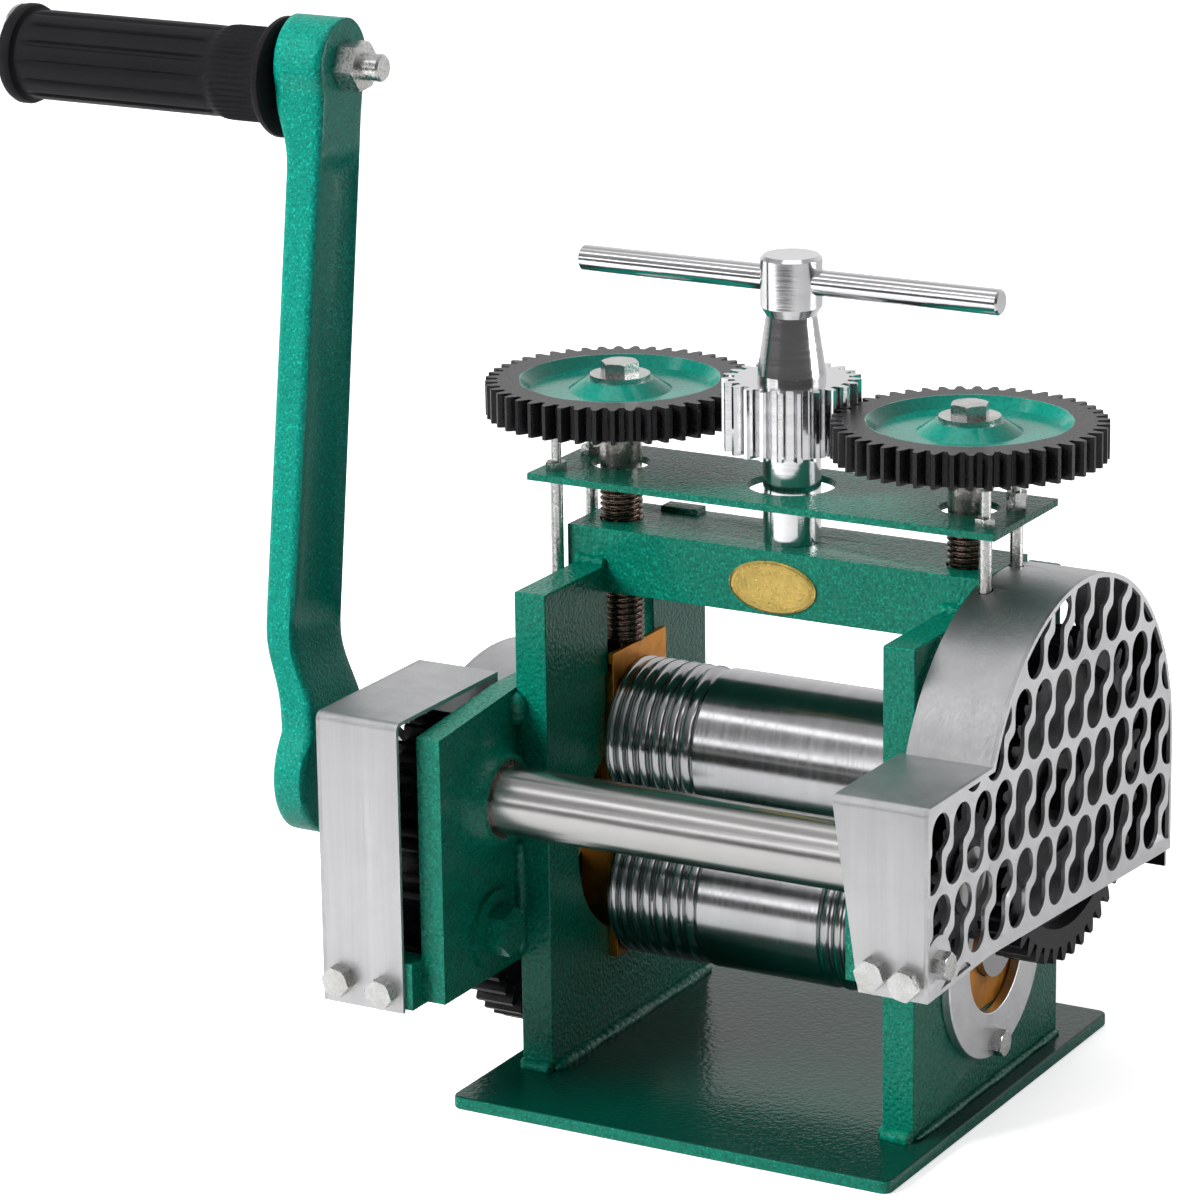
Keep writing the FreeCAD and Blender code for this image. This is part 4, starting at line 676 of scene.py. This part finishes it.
def crank_surface():
    """A squared oval section (the ninth powers of its two coordinates add up to one) carried up the arm. Its
    half width follows the boss circles at the ends and the bar between them. Its thickness and place along X
    follow the side profile. A round channel, an arc across the bar, sinks into the face on the mill side."""
    length = math.hypot(SPINDLE_Y - SHAFT_Y, SPINDLE_Z - SHAFT_Z) / MM
    lean = math.atan2(SPINDLE_Y - SHAFT_Y, SPINDLE_Z - SHAFT_Z)
    low_r, top_r = LOW_BOSS, TOP_BOSS
    ends = 1 - np.cos(np.linspace(0, math.pi / 2, 14))
    up = np.concatenate([
        -low_r + low_r * ends, np.linspace(2, 20, 8), np.linspace(21, 40, 12), np.linspace(42, 60, 10),
        np.linspace(63, 160, 30), np.linspace(162, length - 1, 22), length + top_r * (1 - ends[::-1])])
    bar = np.interp(up, [0, 36, length], [14, 14, 11])
    low = np.sqrt(np.clip(low_r ** 2 - up ** 2, 0, None))
    top = np.sqrt(np.clip(top_r ** 2 - (up - length) ** 2, 0, None))
    inside = (up > 0) & (up < length)
    half = np.maximum(np.maximum(low, top), np.where(inside, bar, 0))
    neck = 0.9 * np.exp(-((up - 17) / 7) ** 2) + 0.5 * np.exp(-((up - length + 9) / 5) ** 2)
    half = half + np.where(inside, neck, 0)
    inner = eased(up, 4.0, [-30, 20, 36, length - 13, length + 30], [-115, -115, -123.5, -121.2, -121])
    outer = eased(up, 4.0, [-30, 19, 38, length - 24, length - 13, length + 30],
                  [-126.5, -126.5, -133.5, -133.2, -138, -138])
    corner = 0.5 ** (1 / CRANK_CORNER)
    face, back, edge = (np.linspace(-corner, corner, n) for n in (49, 21, 11))
    edge = edge[1:-1]
    face_out, back_out, edge_out = (
        (1 - np.abs(part) ** CRANK_CORNER) ** (1 / CRANK_CORNER) for part in (face, back, edge))
    across = np.concatenate([face, edge_out, -back, -edge_out])
    along = np.concatenate([face_out, -edge, -back_out, edge])
    width = half[:, None] * across[None, :]
    middle = (inner + outer)[:, None] / 2
    x = middle + (inner - outer)[:, None] / 2 * along[None, :]
    reach = smoothstep(41, 50, up) * (1 - smoothstep(length - 31, length - 22, up))
    hollow = np.clip(1 - (width / (half[:, None] - CHANNEL_RIM)) ** 2, 0, 1) ** 0.6
    x = x - CHANNEL_DEPTH * hollow * reach[:, None] * (np.arange(len(across)) < len(face))[None, :]
    y = SHAFT_Y / MM + width * math.cos(lean) + up[:, None] * math.sin(lean)
    z = SHAFT_Z / MM - width * math.sin(lean) + up[:, None] * math.cos(lean)
    return np.stack([x, y, z], -1) * MM


class MILL_OT_grip(bpy.types.Operator):
    """Moulds the rubber grip with its bars, ridged collar and two flanges"""

    bl_idname = "mill.grip"
    bl_label = "Grip"

    def execute(self, context):
        sizes = context.scene.mill_sizes
        points = grip_surface(sizes.grip_bars, sizes.collar_ridges)
        add_piece("grip_sleeve", *shells([(points, True, True)]), finishes["rubber"],
                  "grip", "rubber", ("grip",))
        return {"FINISHED"}


def grip_surface(bars, ridges):
    """A closed profile turned round the grip's axis. The radius drops in narrow grooves between the bars of
    the body and rises in a fine wave on the collar."""
    start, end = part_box("grip")[1][0] / MM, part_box("grip")[0][0] / MM
    flange, collar = start - 3.6, start - 20.6
    body = np.linspace(collar - 1.2, end + 5.2, 40)
    outline = [
        (start, GRIP_BORE), (start, 15.5), (start - 0.25, 16.7), (start - 1.0, 17.4), (flange + 1.2, 17.45),
        (flange + 0.4, 16.9), (flange, 15.6), (flange - 0.6, 14.2), (flange - 1.6, GRIP_COLLAR)]
    outline += [(x, GRIP_COLLAR) for x in np.linspace(flange - 2.2, collar, 10)]
    outline += [(x, GRIP_BODY) for x in body]
    outline += [
        (end + 4.6, 13.4), (end + 4.2, 14.3), (end + 3.2, 14.75), (end + 1.2, 14.75), (end + 0.3, 14.3),
        (end, 13.3), (end, GRIP_BORE)]
    outline += [(x, GRIP_BORE) for x in np.linspace(end + 8, start - 8, 8)]
    x, radius = np.array(outline).T
    turn = np.linspace(0, 2 * math.pi, 276, endpoint=False)
    phase = np.abs(((turn * bars / (2 * math.pi)) % 1) - 0.5) * 2
    groove = -0.95 * smoothstep(0.62, 0.86, phase) + 0.28
    wave = 0.28 * np.cos(turn * ridges)
    outside = radius > 10
    on_body = outside * smoothstep(end + 6.5, end + 9, x) * (1 - smoothstep(collar - 3.5, collar - 1.4, x))
    on_collar = outside * smoothstep(collar - 0.2, collar + 0.6, x)
    on_collar = on_collar * (1 - smoothstep(flange - 3, flange - 2, x))
    around = radius[:, None] + on_body[:, None] * groove + on_collar[:, None] * wave
    y = GRIP_Y / MM + around * np.cos(turn)
    z = GRIP_Z / MM + around * np.sin(turn)
    return np.stack([np.broadcast_to(x[:, None], y.shape), y, z], -1) * MM


class MILL_OT_screws(bpy.types.Operator):
    """Cuts the helical thread of the two jack screws"""

    bl_idname = "mill.screws"
    bl_label = "Jack screws"

    def execute(self, context):
        sizes = context.scene.mill_sizes
        for side, label in ((-1, "left"), (1, "right")):
            points = screw_surface(side, sizes.thread_pitch / MM, sizes.thread_depth / MM)
            add_piece(label + "_threaded_screw", *shells([(points, False, True)]), finishes["screw"],
                      label + "_screw", "dark_steel", (label + "_jack_screw",))
        return {"FINISHED"}


def screw_surface(side, pitch, depth):
    """Foot, neck, thread, plain shank and spigot as one turned outline. On the threaded length the radius is
    a flat-topped wave of height along the axis less the turn, so that its crests wind up the screw."""
    low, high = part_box("left_jack_screw")[0][2] / MM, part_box("left_jack_screw")[1][2] / MM
    thread = np.arange(THREAD_FOOT, THREAD_TOP, pitch / 8)
    z = np.concatenate([[low, low, low + 3.3, low + 3.3, 122.7], thread, [171.6, 191.2, 191.3, high, high]])
    radius = np.concatenate([
        [0, 4.55, 4.55, 3.55, 3.55], np.full(len(thread), 6.3), [6.1, 6.1, 5.0, 5.0, 0]])
    turn = np.linspace(0, 2 * math.pi, 48, endpoint=False)
    wave = np.abs(((z[:, None] / pitch - turn[None, :] / (2 * math.pi)) % 1) - 0.5) * 2
    cut = depth * (1 - smoothstep(0.15, 0.75, wave))
    held = ((z > 122.8) & (z < 170.9))[:, None]
    around = radius[:, None] - np.where(held, cut, 0)
    x = side * JACK_X + around * np.cos(turn)
    y = around * np.sin(turn)
    return np.stack([x, y, np.broadcast_to(z[:, None], x.shape)], -1) * MM


class MILL_OT_welds(bpy.types.Operator):
    """Lays the rippled weld beads of the frame"""

    bl_idname = "mill.welds"
    bl_label = "Weld beads"

    def execute(self, context):
        sizes = context.scene.mill_sizes
        grids = [(bead_surface(start, end, sizes.bead_radius * scale, sizes.bead_step, number), False, True)
                 for number, (start, end, scale) in enumerate(bead_lines())]
        add_piece("weld_beads", *shells(grids), finishes["paint"], "frame", "green_paint", ("frame_welds",))
        return {"FINISHED"}


def bead_lines():
    """Start, end and relative radius of every bead. The points, in metres, lie where the plates meet."""
    low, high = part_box("right_upright")
    bar_low, bar_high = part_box("crossbar")
    bracket = {-1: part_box("left_bracket"), 1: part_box("right_bracket")}
    inset = 0.7 * MM
    lines = []
    for side in (-1, 1):
        inner, outer = low[0] - inset, high[0] + inset
        floor = low[2] + inset
        lines.append(((side * inner, low[1], floor), (side * inner, high[1], floor), 1.0))
        lines.append(((side * outer, low[1], floor), (side * outer, high[1], floor), 0.6))
        lines.append(((side * low[0], low[1] - inset, floor), (side * high[0], low[1] - inset, floor), 1.2))
        for y in (bar_low[1] - inset, bar_high[1] + inset):
            lines.append(((side * low[0], y, high[2] + inset), (side * high[0], y, high[2] + inset), 1.0))
        foot, head = bracket[side][0][2] + 2 * MM, bracket[side][1][2] - 3 * MM
        seam_x, seam_y = side * (high[0] - inset), low[1] - inset
        ends = [(SHAFT_Z + 18 * MM, head)] + ([(foot, SHAFT_Z - 18 * MM)] if side < 0 else [])
        for start, end in ends:
            lines.append(((seam_x, seam_y, start), (seam_x, seam_y, end), 1.0))
        for z in (ends[0][0] + 3 * MM, ends[0][1] - 2 * MM):
            lines.append(((seam_x, seam_y, z - 4 * MM), (seam_x, seam_y, z + 4 * MM), 1.6))
    return lines


def bead_surface(start, end, radius, step, number):
    """A round tube from start to end. Its radius swells in even ripples, wavers slowly and closes at the ends.
    A short bead closes as an ellipsoid, a long one stays a tube with blunt ends."""
    start, end = np.array(start), np.array(end)
    span = np.linalg.norm(end - start)
    forward = (end - start) / span
    side = np.cross(forward, (0.31, 0.52, 0.79))
    side /= np.linalg.norm(side)
    rise = np.cross(forward, side)
    along = np.linspace(0, 1, max(12, int(span / step * 7)))
    place = along * span
    ripple = 0.10 * np.abs(np.sin(math.pi * place / step))
    waver = 0.14 * np.sin(place * 170 + number * 1.7) + 0.08 * np.sin(place * 410 + number)
    blunt = 2 if span < 4 * radius else 14
    close = np.sqrt(np.clip(1 - ((np.abs(along - 0.5) * 2) ** blunt), 0, 1))
    around = radius * (0.9 + ripple + waver) * close
    turn = np.linspace(0, 2 * math.pi, 14, endpoint=False)
    centre = start + forward * place[:, None]
    ring = side * np.cos(turn)[:, None] + rise * np.sin(turn)[:, None]
    return centre[:, None, :] + around[:, None, None] * ring[None, :, :]


class MILL_OT_badge(bpy.types.Operator):
    """Presses the plain oval badge with its beaded rim"""

    bl_idname = "mill.badge"
    bl_label = "Badge"

    def execute(self, context):
        add_piece("oval_badge", *shells([(badge_surface(), True, True)]), finishes["badge"],
                  "frame", "badge_gold", ("badge",))
        return {"FINISHED"}


def badge_surface():
    """Rings of an oval from its middle to its rim and back behind. The height is a low dome with a raised rim
    that is beaded by a wave round the oval."""
    low, high = (np.array(c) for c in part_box("badge"))
    half_x, half_z = (high[0] - low[0]) / 2, (high[2] - low[2]) / 2
    ring = np.concatenate([np.linspace(0.0, 0.80, 14), np.linspace(0.82, 0.995, 14), [1.0, 1.0, 0.0]])
    turn = np.linspace(0, 2 * math.pi, 180, endpoint=False)
    dome = 0.00030 * (1 - ring ** 2)
    raised = 0.00030 * np.exp(-((ring - 0.93) / 0.035) ** 2) + 0.00018 * np.exp(-((ring - 0.78) / 0.02) ** 2)
    beads = 0.00018 * np.exp(-((ring - 0.86) / 0.03) ** 2)[:, None] * (0.5 + 0.5 * np.cos(turn * 60))
    height = (0.00045 + dome + raised)[:, None] + beads
    height[-3] = 0.0003
    height[-2:] = 0.0
    x = (low[0] + high[0]) / 2 + half_x * ring[:, None] * np.cos(turn)
    z = (low[2] + high[2]) / 2 + half_z * ring[:, None] * np.sin(turn)
    return np.stack([x, high[1] - height, z], -1)


class MILL_OT_stage(bpy.types.Operator):
    """Adds the pale floor, the soft lights and the camera"""

    bl_idname = "mill.stage"
    bl_label = "Stage"

    def execute(self, context):
        floor = stage_surface()
        light_world(context.scene)
        for lamp in LAMPS:
            area_light(*lamp)
        place_camera(context.scene)
        return {"FINISHED"}


def stage_surface():
    """A flat floor: a plain grid of points on the plane of the object's underside."""
    x, y = np.meshgrid(np.linspace(-4, 4, 9), np.linspace(-0.9, 5, 9))
    points = np.stack([x, y, np.zeros_like(x)], -1)
    mesh = bpy.data.meshes.new("studio_floor")
    vertices, faces = shells([(points, False, False)])
    mesh.from_pydata(vertices, [], faces[:, ::-1])
    floor = bpy.data.objects.new("studio_floor", mesh)
    bpy.context.scene.collection.objects.link(floor)
    mesh.materials.append(finishes["floor"])
    return floor


def light_world(scene):
    """A studio that is dark in front and paler behind and above, and dimmer for matt than for glossy
    surfaces. The camera itself sees it white all round."""
    world = bpy.data.worlds.new("studio")
    scene.world = world
    world.use_nodes = True
    tree = world.node_tree
    background = tree.nodes["Background"]
    where = tree.nodes.new("ShaderNodeTexCoord").outputs["Generated"]
    split = node(tree, "ShaderNodeSeparateXYZ", {"Vector": where})
    dark = ramp(tree, split.outputs["Z"], (0.0, 0.12), (0.25, 0.08), (0.5, 0.25), (0.8, 0.5))
    pale = ramp(tree, split.outputs["Z"], (0.0, 0.95), (0.5, 0.85), (0.8, 0.5))
    behind = ramp(tree, split.outputs["Y"], (0.1, 0.0), (0.5, 1.0))
    path = tree.nodes.new("ShaderNodeLightPath")
    sky = blend(tree, behind, dark, pale)
    sky = blend(tree, maths(tree, "MULTIPLY", path.outputs["Is Diffuse Ray"], 0.3), sky, (0.0, 0.0, 0.0))
    sky = blend(tree, path.outputs["Is Camera Ray"], sky, (1.0, 1.0, 1.0))
    tree.links.new(sky, background.inputs["Color"])
    background.inputs["Strength"].default_value = 1.0


def area_light(name, place, size, power, diffuse, glossy):
    """One square soft light that looks at the mill. It may be left out of matt or of glossy reflections."""
    light = bpy.data.lights.new(name, "AREA")
    light.size = size
    light.energy = power
    lamp = bpy.data.objects.new(name, light)
    bpy.context.scene.collection.objects.link(lamp)
    lamp.visible_diffuse, lamp.visible_glossy, lamp.visible_camera = diffuse, glossy, False
    lamp.location = place
    lamp.rotation_euler = (Vector(LAMP_TARGET) - Vector(place)).to_track_quat("-Z", "Y").to_euler()


def place_camera(scene):
    """The camera at the photograph's angle, from its azimuth, height, roll, target and distance."""
    side, lift, roll = (math.radians(v) for v in CAMERA_ANGLES)
    target = Vector(CAMERA_TARGET) * MM
    back = Vector((math.sin(side) * math.cos(lift), -math.cos(side) * math.cos(lift), math.sin(lift)))
    right = Vector((math.cos(side), math.sin(side), 0))
    up = back.cross(right)
    right, up = (right * math.cos(roll) + up * math.sin(roll), up * math.cos(roll) - right * math.sin(roll))
    camera = bpy.data.cameras.new("camera")
    camera.sensor_fit = "HORIZONTAL"
    camera.sensor_width = SENSOR
    camera.lens = SENSOR * FOCAL_LENGTH / PHOTO_WIDTH
    camera.clip_end = 50
    view = bpy.data.objects.new("camera", camera)
    scene.collection.objects.link(view)
    turn = Matrix((right, up, back)).transposed().to_4x4()
    view.matrix_world = Matrix.Translation(target + back * CAMERA_DISTANCE) @ turn
    scene.camera = view
    scene.view_settings.view_transform = "Standard"


OPERATORS = (
    MILL_OT_materials, MILL_OT_plates, MILL_OT_crank, MILL_OT_grip,
    MILL_OT_screws, MILL_OT_welds, MILL_OT_badge, MILL_OT_stage,
)


class MILL_PT_panel(bpy.types.Panel):
    """Lists the mill's sizes, colours and pieces"""

    bl_idname = "MILL_PT_panel"
    bl_label = "Rolling mill"
    bl_space_type = "VIEW_3D"
    bl_region_type = "UI"
    bl_category = "Mill"

    def draw(self, context):
        layout = self.layout
        for group in (context.scene.mill_sizes, context.scene.mill_colours):
            for key in group.__annotations__:
                layout.prop(group, key)
        for operator in OPERATORS:
            layout.operator(operator.bl_idname)


CLASSES = (MillColours, MillSizes, *OPERATORS, MILL_PT_panel)


def register():
    for item in CLASSES:
        bpy.utils.register_class(item)
    bpy.types.Scene.mill_colours = bpy.props.PointerProperty(type=MillColours)
    bpy.types.Scene.mill_sizes = bpy.props.PointerProperty(type=MillSizes)


def unregister():
    del bpy.types.Scene.mill_sizes
    del bpy.types.Scene.mill_colours
    for item in reversed(CLASSES):
        bpy.utils.unregister_class(item)


def main():
    """Registers the classes and adds every piece in order."""
    register()
    bpy.ops.mill.materials()
    bpy.ops.mill.plates()
    bpy.ops.mill.crank()
    bpy.ops.mill.grip()
    bpy.ops.mill.screws()
    bpy.ops.mill.welds()
    bpy.ops.mill.badge()
    bpy.ops.mill.stage()


if __name__ == "__main__":
    main()
